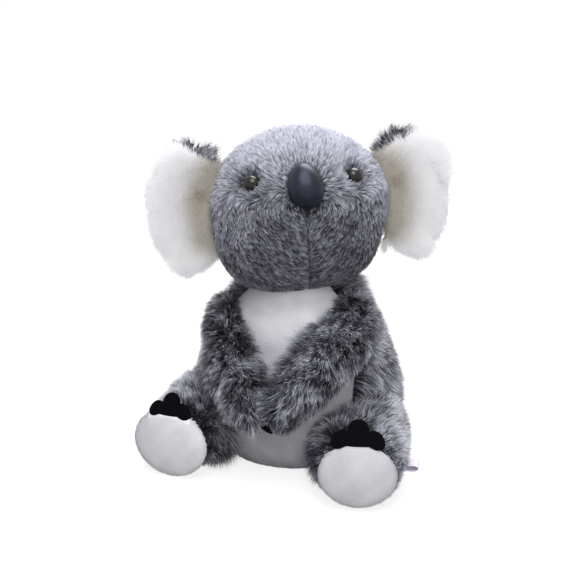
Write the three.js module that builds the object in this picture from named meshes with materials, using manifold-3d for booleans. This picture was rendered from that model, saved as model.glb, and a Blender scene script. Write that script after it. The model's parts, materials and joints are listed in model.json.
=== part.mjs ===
// A sitting plush koala, in millimetres. +Z is up, the koala faces -Y and its own left is +X.
// The origin is the middle of the flat seat under the body.
import * as THREE from "three";
import { mergeVertices } from "three/addons/utils/BufferGeometryUtils.js";
import Module from "manifold-3d";

const wasm = await Module();
wasm.setup();

// Fabric and fit
const FABRIC = 3.5; // plush fabric with its pile pressed flat
const SEAM_GAP = 0.4; // room between two neighbouring pieces
const FLAT_DEPTH = 0.8; // how much of a leg is pressed flat where it lies

// Body, a pear of revolution with a round dome at the neck
const SEAT_RADIUS = 48;
const BELLY_RADIUS = 67;
const BELLY_HEIGHT = 40;
const NECK_HEIGHT = 110; // of the point about which the head turns
const NECK_RADIUS = 32;
const NECK_LEDGE = 6; // the shoulders meet the dome this far above its centre
const SHOULDER_POWER = 0.6; // lower is fuller
const NECK_OPENING = 15; // radius of the hole that joins the stuffing of body and head
const NECK_PLUG = 9; // radius of the stuffing that passes through that hole

// White panel on chest and belly, seen from the front
const PANEL_RISE = 11; // of its top edge above the point about which the head turns
const PANEL_TOP_HALF = 30;
const PANEL_WIDE_HALF = 50;
const PANEL_WIDE_HEIGHT = 56;
const PANEL_BOTTOM = 7;
const PANEL_BOTTOM_HALF = 34;

// Pellet bag in the seat
const PELLET_RADIUS = 38;
const PELLET_HEIGHT = 24;
const PELLET_EDGE = 72; // degrees up to where the bag's side is round

// Head, turned to the koala's left and tipped a little
const HEAD_HALF_WIDTH = 63;
const HEAD_HALF_DEPTH = 55;
const HEAD_HALF_HEIGHT = 56;
const HEAD_SEAT = 11; // the dome's centre lies this far under the head
const HEAD_SIDE = 3; // the head sits this far to the left of the neck
const HEAD_FORWARD = 8;
const HEAD_TURN = 24;
const HEAD_TIP = 3;
const JOWL_FULLNESS = 1; // how much squarer the head is below than above
const JOWL_DEPTH = 0.7; // share of the way down at which it is squarest
const MUZZLE_RISE = 5;
const MUZZLE_SPREAD = 32; // degrees
const MUZZLE_ELEVATION = -6;

// Safety nose and eyes, each with a shank and a washer behind the fabric
const NOSE_WIDTH = 23;
const NOSE_HEIGHT = 31;
const NOSE_DEPTH = 11;
const NOSE_SINK = 1.8;
const NOSE_TAPER = 0.12; // how much wider the nose is at its foot
const NOSE_ELEVATION = 27.5;
const EYE_RADIUS = 5.6;
const EYE_DOME = 4.6;
const EYE_FLANGE = 0.8;
const EYE_SINK = 2; // how far the eyes are drawn into the fabric
const EYE_AZIMUTH = 42.5;
const EYE_ELEVATION = 28;
const SHANK_RADIUS = 2;
const SHANK_LENGTH = 13;
const WASHER_RADIUS = 7.5;
const WASHER_THICK = 2;

// Ears, cupped forward
const EAR_HALF_WIDTH = 30;
const EAR_HALF_HEIGHT = 47.5;
const EAR_HALF_THICK = 9;
const EAR_STAND = 16; // from the side of the head to the middle of the ear
const EAR_BACK = 5;
const EAR_RISE = 7;
const EAR_CUP = 7;
const EAR_SWEEP = 18; // degrees forward
const EAR_SWING = [-12, 18];

// Arms, from shoulder over elbow to hand
const SHOULDER_RADIUS = 18.5;
const HAND_RADIUS = 15;
const ELBOW_SWELL = 4;
const HAND_CAP = 10.5; // length of the hand's rounded end
const SHOULDER_HEIGHT = 97;
const SHOULDER_AZIMUTH = { left: 70, right: 62 };
const SHOULDER_SINK = 7;
const HAND_HEIGHT = 54;
const HAND_GAP = 2; // between the two hands
const FOREARM_OVER_LEG = 16; // from the top of the thigh up to the middle of the forearm
const ELBOW_AZIMUTH = { left: 47, right: 40 };
const ELBOW_LIFT = { left: 9, right: 2 };
const FOREARM_AZIMUTH = { left: 28, right: 28 };
const FOREARM_LIFT = { left: 15, right: 8 };
const ARM_AXIS_LEAN = 24; // the hinge line leans, so an opening arm also rises
const ARM_SWING = [0, 34];

// Legs, lying on the ground and splayed
const LEG_HALF_WIDTH = 30;
const LEG_HALF_HEIGHT = 26;
const THIGH_RISE = 4; // how much higher the leg is at the hip than at the sole
const LEG_LENGTH = 66;
const THIGH_SWELL = 2;
const TOE_CAP = 12;
const HEEL_CAP = 24;
const HIP_INSET = 10; // from the widest girth of the belly in to the hip
const HIP_FORWARD = { left: 26, right: 12 };
const LEG_SPLAY = { left: 11, right: 6 };
const LEG_SWING = [0, 18];

// Soles and felt claws
const SOLE_HALF_WIDTH = 26;
const FELT = 2.5;
const TOE_FELT_WIDTH = 35;
const TOE_FELT_HEIGHT = 18;
const TOE_FELT_LEAN = 32;
const TOE_FELT_DROP = 3; // how far the felt's foot lies under the edge of the sole
const HAND_FELT_WIDTH = 17;
const HAND_FELT_HEIGHT = 10;
const CLAW_COUNT = 3;
const SIDE_CLAW = 0.72; // height of the outer claws, as a share of the middle one
const CLAW_VALLEY = 0.35; // depth left between two claws, as a share of the height
const CLAW_FULLNESS = 1.15;

// Sewn-in label, an open loop of ribbon
const LABEL_WIDTH = 11;
const LABEL_REACH = 9;
const LABEL_RIBBON = 0.6;
const LABEL_FOLD = 3.5; // how wide the loop stands open
const LABEL_HEIGHT = 18;
const LABEL_PLACE = 36; // from the hip along the leg

// How finely the surfaces are faceted
const OUTER_COLUMNS = 22;
const OUTER_ROWS = 12;
const INNER_COLUMNS = 12;
const INNER_ROWS = 7;
const CAP_ROWS = 3;
const LIMB_ROWS = 6;
const BODY_ROWS = { seat: 0.3, side: 0.4, dome: 0.3 }; // shares of the body's rows
const FAR = 400; // larger than the whole toy

const SIDES = { left: 1, right: -1 };
const UP = new THREE.Vector3(0, 0, 1);
const ORIGIN = new THREE.Vector3();
const radians = THREE.MathUtils.degToRad;
const vector = (x, y, z) => new THREE.Vector3(x, y, z);

const finish = (color, roughness) => new THREE.MeshStandardMaterial({ color, roughness, metalness: 0 });
const GREY_PILE = finish(0x77777d, 0.95);
const WHITE_PILE = finish(0xdcdcde, 0.95);
const STUFFING = finish(0xf2f0ea, 1);
const BLACK_FELT = finish(0x111114, 0.95);
const NOSE_PLASTIC = finish(0x35363f, 0.45);
const EYE_PLASTIC = finish(0x0c0a0a, 0.12);
const WASHER_PLASTIC = finish(0xe8e8e4, 0.5);
const PELLET_CLOTH = finish(0xe6e2d8, 0.9);
const LABEL_RIBBON_CLOTH = finish(0xf4f4f4, 0.6);

/** A closed surface through rings of points, the first and the last ring being one point. */
function closedSkin(rings) {
  const points = rings.flat();
  const starts = [];
  let count = 0;
  for (const ring of rings) {
    starts.push(count);
    count += ring.length;
  }
  const corner = (row, column) => starts[row] + (column % rings[row].length);
  const triangles = [];
  for (let row = 0; row + 1 < rings.length; row += 1) {
    const columns = Math.max(rings[row].length, rings[row + 1].length);
    for (let column = 0; column < columns; column += 1) {
      if (rings[row].length > 1) {
        triangles.push(corner(row, column), corner(row, column + 1), corner(row + 1, column + 1));
      }
      if (rings[row + 1].length > 1) {
        triangles.push(corner(row, column), corner(row + 1, column + 1), corner(row + 1, column));
      }
    }
  }
  const geometry = new THREE.BufferGeometry().setFromPoints(points);
  geometry.setIndex(triangles);
  return geometry;
}

/** The same closed geometry as a solid with its faces pointing out, ready to be joined and cut. */
function solidOf(geometry) {
  const bare = geometry.clone();
  bare.deleteAttribute("normal");
  bare.deleteAttribute("uv");
  const merged = mergeVertices(bare, 1e-4);
  const corners = merged.index.array;
  const at = (index) => new THREE.Vector3().fromBufferAttribute(merged.attributes.position, index);
  const triangles = [];
  let volume = 0;
  for (let i = 0; i < corners.length; i += 3) {
    const [a, b, c] = corners.slice(i, i + 3);
    if (a !== b && b !== c && c !== a) {
      triangles.push([a, b, c]);
      volume += at(a).dot(at(b).cross(at(c)));
    }
  }
  if (volume < 0) {
    triangles.forEach((triangle) => triangle.reverse());
  }
  return new wasm.Manifold(new wasm.Mesh({
    numProp: 3,
    vertProperties: Float32Array.from(merged.attributes.position.array),
    triVerts: Uint32Array.from(triangles.flat()),
  }));
}

/** A mesh of a solid that is given in the toy's frame, hung in a group that stands at a pivot. */
function addPiece(group, name, solid, material) {
  const { vertProperties, triVerts } = solid.getMesh();
  const geometry = new THREE.BufferGeometry();
  geometry.setAttribute("position", new THREE.BufferAttribute(Float32Array.from(vertProperties), 3));
  geometry.setIndex(new THREE.BufferAttribute(Uint32Array.from(triVerts), 1));
  const pivot = group.userData.pivot;
  geometry.translate(-pivot.x, -pivot.y, -pivot.z);
  geometry.computeVertexNormals();
  const mesh = new THREE.Mesh(geometry, material);
  mesh.name = name;
  group.add(mesh);
}

/** A group at a pivot of the toy's frame, hung in the group that carries it. */
function pivotGroup(parent, pivot, axis) {
  const group = new THREE.Group();
  group.position.copy(pivot).sub(parent.userData.pivot);
  group.userData = { pivot, axis };
  parent.add(group);
  return group;
}

/** A matrix that turns by an angle in degrees about an axis through a point. */
function turnAbout(point, axis, degrees) {
  const back = new THREE.Matrix4().makeTranslation(point.x, point.y, point.z);
  const turn = new THREE.Matrix4().makeRotationAxis(axis, radians(degrees));
  const there = new THREE.Matrix4().makeTranslation(-point.x, -point.y, -point.z);
  return back.multiply(turn).multiply(there);
}

/** A piece cut clear of a larger form at rest and at both ends of its swing about a hinge. */
function clearOf(piece, larger, hinge, swing) {
  let cut = piece.subtract(solidOf(larger));
  for (const degrees of swing) {
    if (degrees !== 0) {
      const turned = larger.clone().applyMatrix4(turnAbout(hinge.pivot, hinge.axis, -degrees));
      cut = cut.subtract(solidOf(turned));
    }
  }
  return cut;
}

/** A frame whose local Z axis is a given direction and whose local Y axis leans towards up. */
function frameAt(point, direction) {
  const side = new THREE.Vector3().crossVectors(UP, direction).normalize();
  const lean = new THREE.Vector3().crossVectors(direction, side);
  return new THREE.Matrix4().makeBasis(side, lean, direction).setPosition(point);
}

/** A round rod along local Z from a lower to an upper end. */
function rod(radius, low, high) {
  const geometry = new THREE.CylinderGeometry(radius, radius, high - low, INNER_COLUMNS);
  return geometry.rotateX(Math.PI / 2).translate(0, 0, (low + high) / 2);
}

/** A ball about a point, with its corners on the true sphere. */
function ball(radius, centre) {
  const geometry = new THREE.SphereGeometry(radius, OUTER_COLUMNS, OUTER_ROWS);
  return geometry.translate(centre.x, centre.y, centre.z);
}

/** The room for a ball, with the middles of its facets outside the true sphere. */
function ballRoom(radius, centre) {
  const inside = Math.cos(Math.PI / OUTER_COLUMNS) * Math.cos(Math.PI / (2 * OUTER_ROWS));
  return ball(radius / inside, centre);
}

// Body

const neckPoint = vector(0, 0, NECK_HEIGHT);

/** Radius of the body at a height, for a skin that lies an inset inside the outer one. */
function bodyRadius(height, inset = 0) {
  const dome = NECK_RADIUS - inset;
  const ledge = NECK_HEIGHT + NECK_LEDGE - inset;
  const neck = Math.sqrt(dome ** 2 - (ledge - NECK_HEIGHT) ** 2);
  const belly = BELLY_RADIUS - inset;
  if (height < BELLY_HEIGHT) {
    const drop = (BELLY_HEIGHT - height) / (BELLY_HEIGHT - inset);
    const seat = SEAT_RADIUS - inset;
    return seat + (belly - seat) * Math.sqrt(Math.max(0, 1 - drop ** 2));
  }
  if (height < ledge) {
    const rise = (height - BELLY_HEIGHT) / (ledge - BELLY_HEIGHT);
    return neck + (belly - neck) * (1 - rise ** 2) ** SHOULDER_POWER;
  }
  return Math.sqrt(Math.max(0, dome ** 2 - (height - NECK_HEIGHT) ** 2));
}

/** The body's skin, turned about the Z axis from its profile. */
function bodyForm(inset, columns, rows) {
  const ledge = NECK_HEIGHT + NECK_LEDGE - inset;
  const top = NECK_HEIGHT + NECK_RADIUS - inset;
  const profile = [new THREE.Vector2(0, inset)];
  const stretch = (from, to, steps, ease) => {
    for (let step = 0; step < steps; step += 1) {
      const height = from + (to - from) * ease(step / steps);
      profile.push(new THREE.Vector2(bodyRadius(height, inset), height));
    }
  };
  const slowStart = (t) => 1 - Math.cos(t * Math.PI / 2);
  const slowEnd = (t) => Math.sin(t * Math.PI / 2);
  stretch(inset, BELLY_HEIGHT, Math.round(rows * BODY_ROWS.seat), slowStart);
  stretch(BELLY_HEIGHT, ledge, Math.round(rows * BODY_ROWS.side), slowEnd);
  stretch(ledge, top, Math.round(rows * BODY_ROWS.dome), slowEnd);
  profile.push(new THREE.Vector2(0, top));
  return new THREE.LatheGeometry(profile, columns).rotateX(Math.PI / 2);
}

/** The outline of the chest and belly panel as a prism through the front of the body. */
function panelPrism(grow) {
  const top = NECK_HEIGHT + PANEL_RISE + grow;
  const bottom = PANEL_BOTTOM - grow;
  const wide = PANEL_WIDE_HALF + grow;
  const upper = PANEL_TOP_HALF + grow;
  const lower = PANEL_BOTTOM_HALF + grow;
  const outline = new THREE.Shape();
  outline.moveTo(-upper, top);
  outline.quadraticCurveTo(-wide, top, -wide, PANEL_WIDE_HEIGHT);
  outline.quadraticCurveTo(-wide, bottom, -lower, bottom);
  outline.lineTo(lower, bottom);
  outline.quadraticCurveTo(wide, bottom, wide, PANEL_WIDE_HEIGHT);
  outline.quadraticCurveTo(wide, top, upper, top);
  outline.closePath();
  const prism = new THREE.ExtrudeGeometry(outline, { depth: FAR, bevelEnabled: false, curveSegments: 5 });
  return prism.rotateX(Math.PI / 2);
}

/** A lens-shaped bag lying on the seat, with room around it if it grows. */
function pelletBag(grow) {
  const floor = FABRIC + SEAM_GAP - grow;
  const radius = PELLET_RADIUS + grow;
  const middle = FABRIC + SEAM_GAP + PELLET_HEIGHT / 2;
  const half = PELLET_HEIGHT / 2 + grow;
  const profile = [new THREE.Vector2(0, floor)];
  for (let step = 0; step <= CAP_ROWS; step += 1) {
    const angle = radians((step / CAP_ROWS * 2 - 1) * PELLET_EDGE);
    profile.push(new THREE.Vector2(radius * Math.cos(angle), middle + half * Math.sin(angle)));
  }
  profile.push(new THREE.Vector2(0, middle + half));
  return new THREE.LatheGeometry(profile, INNER_COLUMNS).rotateX(Math.PI / 2);
}

/** Body cover, chest panel, stuffing and pellet bag. */
function addBody(toy) {
  const inside = FABRIC + SEAM_GAP;
  const opening = rod(NECK_OPENING, NECK_HEIGHT, FAR);
  const neckRoom = solidOf(ballRoom(NECK_RADIUS - FABRIC, neckPoint));
  const shell = solidOf(bodyForm(0, OUTER_COLUMNS, OUTER_ROWS))
    .subtract(solidOf(bodyForm(FABRIC, INNER_COLUMNS, INNER_ROWS)))
    .subtract(neckRoom)
    .subtract(solidOf(opening));
  addPiece(toy, "body_cover", shell.subtract(solidOf(panelPrism(SEAM_GAP))), GREY_PILE);
  addPiece(toy, "chest_panel", shell.intersect(solidOf(panelPrism(0))), WHITE_PILE);
  const stuffing = solidOf(bodyForm(inside, INNER_COLUMNS, INNER_ROWS))
    .subtract(neckRoom)
    .subtract(solidOf(pelletBag(SEAM_GAP)));
  addPiece(toy, "body_stuffing", stuffing, STUFFING);
  addPiece(toy, "pellet_bag", solidOf(pelletBag(0)), PELLET_CLOTH);
}

// Head

const headCentre = vector(HEAD_SIDE, -HEAD_FORWARD, NECK_HEIGHT + HEAD_SEAT + HEAD_HALF_HEIGHT);
const headFrame = new THREE.Matrix4()
  .makeTranslation(headCentre.x, headCentre.y, headCentre.z)
  .multiply(new THREE.Matrix4().makeRotationZ(radians(HEAD_TURN)))
  .multiply(new THREE.Matrix4().makeRotationY(radians(-HEAD_TIP)));

/** A point of the head's skin in the head's own frame, seen from its centre at two angles. */
function headPoint(azimuth, elevation, inset) {
  const level = Math.cos(elevation);
  const way = vector(level * Math.sin(azimuth), -level * Math.cos(azimuth), Math.sin(elevation));
  const power = 2 + JOWL_FULLNESS * THREE.MathUtils.smoothstep(-way.z, 0, JOWL_DEPTH);
  const measure = Math.abs(way.x / HEAD_HALF_WIDTH) ** power
    + Math.abs(way.y / HEAD_HALF_DEPTH) ** power
    + Math.abs(way.z / HEAD_HALF_HEIGHT) ** power;
  const spread = radians(MUZZLE_SPREAD);
  const offside = Math.atan2(Math.sin(azimuth), Math.cos(azimuth)) / spread;
  const offlevel = (elevation - radians(MUZZLE_ELEVATION)) / spread;
  const muzzle = MUZZLE_RISE * Math.exp(-(offside ** 2) - offlevel ** 2);
  return way.multiplyScalar(measure ** (-1 / power) + muzzle - inset);
}

/** The head's skin, an inset inside the outer one. */
function headForm(inset, columns, rows) {
  const rings = [];
  for (let row = 0; row <= rows; row += 1) {
    const elevation = (row / rows - 0.5) * Math.PI;
    const count = row === 0 || row === rows ? 1 : columns;
    const ring = [];
    for (let column = 0; column < count; column += 1) {
      ring.push(headPoint(column / columns * 2 * Math.PI, elevation, inset));
    }
    rings.push(ring);
  }
  return closedSkin(rings).applyMatrix4(headFrame);
}

/** A frame on the head's skin, with local Z along the skin's outward normal. */
function headSeat(azimuth, elevation) {
  const [across, along] = [radians(azimuth), radians(elevation)];
  const step = 0.02;
  const point = headPoint(across, along, 0);
  const side = headPoint(across + step, along, 0).sub(point);
  const rise = headPoint(across, along + step, 0).sub(point);
  const normal = side.cross(rise).normalize();
  return headFrame.clone().multiply(frameAt(point, normal));
}

const washerTop = -FABRIC - SEAM_GAP;
const washerFoot = washerTop - WASHER_THICK;

/** A flat ring that holds a shank behind the fabric. */
function washer(frame) {
  const inner = SHANK_RADIUS + SEAM_GAP;
  const profile = [
    new THREE.Vector2(inner, washerFoot),
    new THREE.Vector2(WASHER_RADIUS, washerFoot),
    new THREE.Vector2(WASHER_RADIUS, washerTop),
    new THREE.Vector2(inner, washerTop),
    new THREE.Vector2(inner, washerFoot),
  ];
  return new THREE.LatheGeometry(profile, INNER_COLUMNS).rotateX(Math.PI / 2).applyMatrix4(frame);
}

/** The room that a shank and its washer take in the fabric and the stuffing. */
function shankRoom(frame) {
  const shank = rod(SHANK_RADIUS + SEAM_GAP, -SHANK_LENGTH - SEAM_GAP, FABRIC);
  const ring = rod(WASHER_RADIUS + SEAM_GAP, washerFoot - SEAM_GAP, -FABRIC);
  return solidOf(shank.applyMatrix4(frame)).add(solidOf(ring.applyMatrix4(frame)));
}

/** The pocket in the fabric that an eye is drawn into. */
function eyePocket(frame) {
  return solidOf(rod(EYE_RADIUS + SEAM_GAP, -EYE_SINK - SEAM_GAP, FABRIC).applyMatrix4(frame));
}

/** A domed eye on its shank. */
function eyeForm(frame) {
  const seat = -EYE_SINK;
  const profile = [new THREE.Vector2(0, -SHANK_LENGTH)];
  profile.push(new THREE.Vector2(SHANK_RADIUS, -SHANK_LENGTH));
  profile.push(new THREE.Vector2(SHANK_RADIUS, seat));
  profile.push(new THREE.Vector2(EYE_RADIUS, seat));
  for (let step = 0; step < CAP_ROWS; step += 1) {
    const angle = step / CAP_ROWS * Math.PI / 2;
    const height = seat + EYE_FLANGE + EYE_DOME * Math.sin(angle);
    profile.push(new THREE.Vector2(EYE_RADIUS * Math.cos(angle), height));
  }
  profile.push(new THREE.Vector2(0, seat + EYE_FLANGE + EYE_DOME));
  return new THREE.LatheGeometry(profile, INNER_COLUMNS).rotateX(Math.PI / 2).applyMatrix4(frame);
}

/** The nose's egg, domed outwards from a flat back that is sunk a little in the fabric. */
function noseEgg(grow) {
  const rings = [[vector(0, 0, -NOSE_SINK - grow)]];
  for (let row = 0; row <= CAP_ROWS; row += 1) {
    const angle = row / CAP_ROWS * Math.PI / 2;
    const reach = Math.cos(angle);
    const height = (NOSE_DEPTH + grow) * Math.sin(angle) - NOSE_SINK - (row === 0 ? grow : 0);
    const ring = [];
    for (let column = 0; column < INNER_COLUMNS; column += 1) {
      const turn = column / INNER_COLUMNS * 2 * Math.PI;
      const egg = 1 - NOSE_TAPER * Math.sin(turn);
      const across = (NOSE_WIDTH / 2 + grow) * reach * Math.cos(turn) * egg;
      ring.push(vector(across, (NOSE_HEIGHT / 2 + grow) * reach * Math.sin(turn), height));
    }
    rings.push(row === CAP_ROWS ? [vector(0, 0, height)] : ring);
  }
  return closedSkin(rings);
}

/** One half of an ear, front or back, built about the ear's own middle. */
function earHalf(side, facing) {
  const rings = [];
  const ring = (reach, depth) => {
    const points = [];
    for (let column = 0; column < OUTER_COLUMNS; column += 1) {
      const turn = column / OUTER_COLUMNS * 2 * Math.PI;
      const across = EAR_HALF_WIDTH * reach * Math.cos(turn);
      const rise = EAR_HALF_HEIGHT * reach * Math.sin(turn);
      const cup = EAR_CUP * reach ** 2;
      points.push(vector(side * across, facing * depth - cup, rise));
    }
    return points;
  };
  rings.push([vector(0, facing * EAR_HALF_THICK, 0)]);
  for (let row = 1; row <= CAP_ROWS; row += 1) {
    const angle = (1 - row / CAP_ROWS) * Math.PI / 2;
    rings.push(ring(Math.cos(angle), SEAM_GAP / 2 + (EAR_HALF_THICK - SEAM_GAP / 2) * Math.sin(angle)));
  }
  rings.push([vector(0, facing * SEAM_GAP / 2, 0)]);
  const root = earRoot(side);
  return closedSkin(rings)
    .translate(side * EAR_STAND, 0, 0)
    .rotateZ(radians(-side * EAR_SWEEP))
    .translate(root.x, root.y, root.z)
    .applyMatrix4(headFrame);
}

/** The middle of an ear's root on the side of the head, in the head's own frame. */
function earRoot(side) {
  return vector(side * HEAD_HALF_WIDTH, EAR_BACK, EAR_RISE);
}

/** One ear, white in front and grey behind, on a hinge line down its root. */
function addEar(head, sideName) {
  const side = SIDES[sideName];
  const axis = vector(0, 0, side).transformDirection(headFrame);
  const ear = pivotGroup(head, earRoot(side).applyMatrix4(headFrame), axis);
  const clear = headForm(-SEAM_GAP, OUTER_COLUMNS, OUTER_ROWS);
  const half = (facing) => clearOf(solidOf(earHalf(side, facing)), clear, ear.userData, EAR_SWING);
  addPiece(ear, `ear_front_${sideName}`, half(-1), WHITE_PILE);
  addPiece(ear, `ear_back_${sideName}`, half(1), GREY_PILE);
}

/** Neck, head cover and stuffing, nose, eyes, washers and ears. */
function addHead(toy) {
  const neck = pivotGroup(toy, neckPoint, UP);
  const ballRadius = NECK_RADIUS - FABRIC - SEAM_GAP;
  addPiece(neck, "neck_stuffing", solidOf(ball(ballRadius, neckPoint)), STUFFING);

  const nodAxis = vector(1, 0, 0).transformDirection(headFrame);
  const head = pivotGroup(neck, neckPoint, nodAxis.setZ(0).normalize());
  const socket = solidOf(ballRoom(NECK_RADIUS + SEAM_GAP, neckPoint));
  const inner = headForm(FABRIC, INNER_COLUMNS, INNER_ROWS);
  let cover = solidOf(headForm(0, OUTER_COLUMNS, OUTER_ROWS)).subtract(solidOf(inner)).subtract(socket);
  let stuffing = solidOf(headForm(FABRIC + SEAM_GAP, INNER_COLUMNS, INNER_ROWS)).subtract(socket);
  const plugFoot = NECK_HEIGHT + ballRadius + SEAM_GAP;
  const plug = rod(NECK_PLUG, plugFoot, headCentre.z);
  stuffing = stuffing.add(solidOf(plug));

  for (const [sideName, side] of Object.entries(SIDES)) {
    const seat = headSeat(side * EYE_AZIMUTH, EYE_ELEVATION);
    cover = cover.subtract(shankRoom(seat)).subtract(eyePocket(seat));
    stuffing = stuffing.subtract(shankRoom(seat));
    addPiece(head, `eye_${sideName}`, solidOf(eyeForm(seat)), EYE_PLASTIC);
    addPiece(head, `eye_washer_${sideName}`, solidOf(washer(seat)), WASHER_PLASTIC);
  }
  const noseSeat = headSeat(0, NOSE_ELEVATION);
  const shank = rod(SHANK_RADIUS, -SHANK_LENGTH, 0).applyMatrix4(noseSeat);
  const nose = solidOf(noseEgg(0).applyMatrix4(noseSeat)).add(solidOf(shank));
  cover = cover.subtract(shankRoom(noseSeat)).subtract(solidOf(noseEgg(SEAM_GAP).applyMatrix4(noseSeat)));
  stuffing = stuffing.subtract(shankRoom(noseSeat));
  addPiece(head, "nose", nose, NOSE_PLASTIC);
  addPiece(head, "nose_washer", solidOf(washer(noseSeat)), WASHER_PLASTIC);
  addPiece(head, "head_cover", cover, GREY_PILE);
  addPiece(head, "head_stuffing", stuffing, STUFFING);
  Object.keys(SIDES).forEach((sideName) => addEar(head, sideName));
}

// Limbs

/** A stuffed limb along a curve, with rounded ends and a girth that changes along it. */
function limbForm(curve, girth, caps, inset, columns) {
  const rings = [];
  const ring = (along, slide, scale) => {
    const forward = curve.getTangentAt(along);
    const centre = curve.getPointAt(along).addScaledVector(forward, slide);
    if (scale < 1e-6) {
      return [centre];
    }
    const side = new THREE.Vector3().crossVectors(forward, UP).normalize();
    const rise = new THREE.Vector3().crossVectors(side, forward);
    const [halfWidth, halfHeight] = girth(along);
    const points = [];
    for (let column = 0; column < columns; column += 1) {
      const turn = column / columns * 2 * Math.PI;
      const point = centre.clone();
      point.addScaledVector(side, (halfWidth - inset) * scale * Math.cos(turn));
      point.addScaledVector(rise, (halfHeight - inset) * scale * Math.sin(turn));
      points.push(point);
    }
    return points;
  };
  for (let row = CAP_ROWS; row > 0; row -= 1) {
    const angle = row / CAP_ROWS * Math.PI / 2;
    rings.push(ring(0, -(caps[0] - inset) * Math.sin(angle), Math.cos(angle)));
  }
  for (let row = 0; row <= LIMB_ROWS; row += 1) {
    rings.push(ring(row / LIMB_ROWS, 0, 1));
  }
  for (let row = 1; row <= CAP_ROWS; row += 1) {
    const angle = row / CAP_ROWS * Math.PI / 2;
    rings.push(ring(1, (caps[1] - inset) * Math.sin(angle), Math.cos(angle)));
  }
  return closedSkin(rings);
}

/** A felt piece with rounded claws side by side, in its own XY plane, its back at Z = 0. */
function clawFelt(width, height) {
  const step = width / CLAW_COUNT;
  const shape = new THREE.Shape();
  shape.moveTo(-width / 2, 0);
  for (let claw = 0; claw < CLAW_COUNT; claw += 1) {
    const from = -width / 2 + claw * step;
    const middle = claw === Math.floor(CLAW_COUNT / 2);
    const top = CLAW_FULLNESS * (middle ? height : height * SIDE_CLAW);
    const valley = claw === CLAW_COUNT - 1 ? 0 : height * CLAW_VALLEY;
    shape.bezierCurveTo(from, top, from + step, top, from + step, valley);
  }
  shape.closePath();
  return new THREE.ExtrudeGeometry(shape, { depth: FELT, bevelEnabled: false, curveSegments: 5 });
}

/** A place beside the body: an angle from the front, a height and a distance off the skin. */
function besideBody(side, azimuth, height, lift) {
  const reach = bodyRadius(height) + lift;
  const angle = radians(azimuth);
  return vector(side * reach * Math.sin(angle), -reach * Math.cos(angle), height);
}

/** One arm with its felt claws, on a leaning hinge line at the back of the shoulder. */
function addArm(toy, sideName) {
  const side = SIDES[sideName];
  const forearmHeight = 2 * LEG_HALF_HEIGHT + THIGH_RISE + FOREARM_OVER_LEG;
  const elbowHeight = (SHOULDER_HEIGHT + forearmHeight) / 2;
  const handReach = bodyRadius(HAND_HEIGHT) + HAND_RADIUS;
  const handAzimuth = THREE.MathUtils.radToDeg(Math.asin((HAND_RADIUS + HAND_GAP / 2) / handReach));
  const curve = new THREE.CatmullRomCurve3([
    besideBody(side, SHOULDER_AZIMUTH[sideName], SHOULDER_HEIGHT, -SHOULDER_SINK),
    besideBody(side, ELBOW_AZIMUTH[sideName], elbowHeight, ELBOW_LIFT[sideName]),
    besideBody(side, FOREARM_AZIMUTH[sideName], forearmHeight, FOREARM_LIFT[sideName]),
    besideBody(side, handAzimuth, HAND_HEIGHT, HAND_RADIUS),
  ]);
  const girth = (along) => {
    const taper = SHOULDER_RADIUS + (HAND_RADIUS - SHOULDER_RADIUS) * along;
    const radius = taper + ELBOW_SWELL * Math.sin(Math.PI * along);
    return [radius, radius];
  };
  const caps = [SHOULDER_RADIUS, HAND_CAP];
  const form = (inset, columns) => solidOf(limbForm(curve, girth, caps, inset, columns));

  const shoulderSpan = THREE.MathUtils.radToDeg(SHOULDER_RADIUS / bodyRadius(SHOULDER_HEIGHT));
  const hingeAngle = SHOULDER_AZIMUTH[sideName] + shoulderSpan;
  const pivot = besideBody(side, hingeAngle, SHOULDER_HEIGHT, 0);
  const lean = radians(ARM_AXIS_LEAN);
  const axis = vector(-Math.sin(lean), 0, side * Math.cos(lean));
  const arm = pivotGroup(toy, pivot, axis);
  const clear = bodyForm(-SEAM_GAP, OUTER_COLUMNS, OUTER_ROWS);
  const cut = (solid) => clearOf(solid, clear, arm.userData, ARM_SWING);
  const shell = form(0, INNER_COLUMNS).subtract(form(FABRIC, INNER_COLUMNS));
  addPiece(arm, `arm_cover_${sideName}`, cut(shell), GREY_PILE);
  addPiece(arm, `arm_stuffing_${sideName}`, cut(form(FABRIC + SEAM_GAP, INNER_COLUMNS)), STUFFING);

  const tip = curve.getPointAt(1).addScaledVector(curve.getTangentAt(1), caps[1] + SEAM_GAP);
  const claws = clawFelt(HAND_FELT_WIDTH, HAND_FELT_HEIGHT)
    .rotateZ(Math.PI)
    .applyMatrix4(frameAt(tip, curve.getTangentAt(1)));
  addPiece(arm, `hand_claws_${sideName}`, solidOf(claws), BLACK_FELT);
}

/** The frame of a leg: local -Y runs from hip to sole, and local Z is up. */
function legFrame(sideName) {
  const side = SIDES[sideName];
  const hip = vector(side * (BELLY_RADIUS - HIP_INSET), -HIP_FORWARD[sideName], LEG_HALF_HEIGHT - FLAT_DEPTH);
  return new THREE.Matrix4()
    .makeTranslation(hip.x, hip.y, hip.z)
    .multiply(new THREE.Matrix4().makeRotationZ(radians(side * LEG_SPLAY[sideName])));
}

/** How much wider a leg is on each side, part of the way from hip to sole. */
function thighSwell(along) {
  return THIGH_SWELL * Math.sin(Math.PI * along);
}

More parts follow.
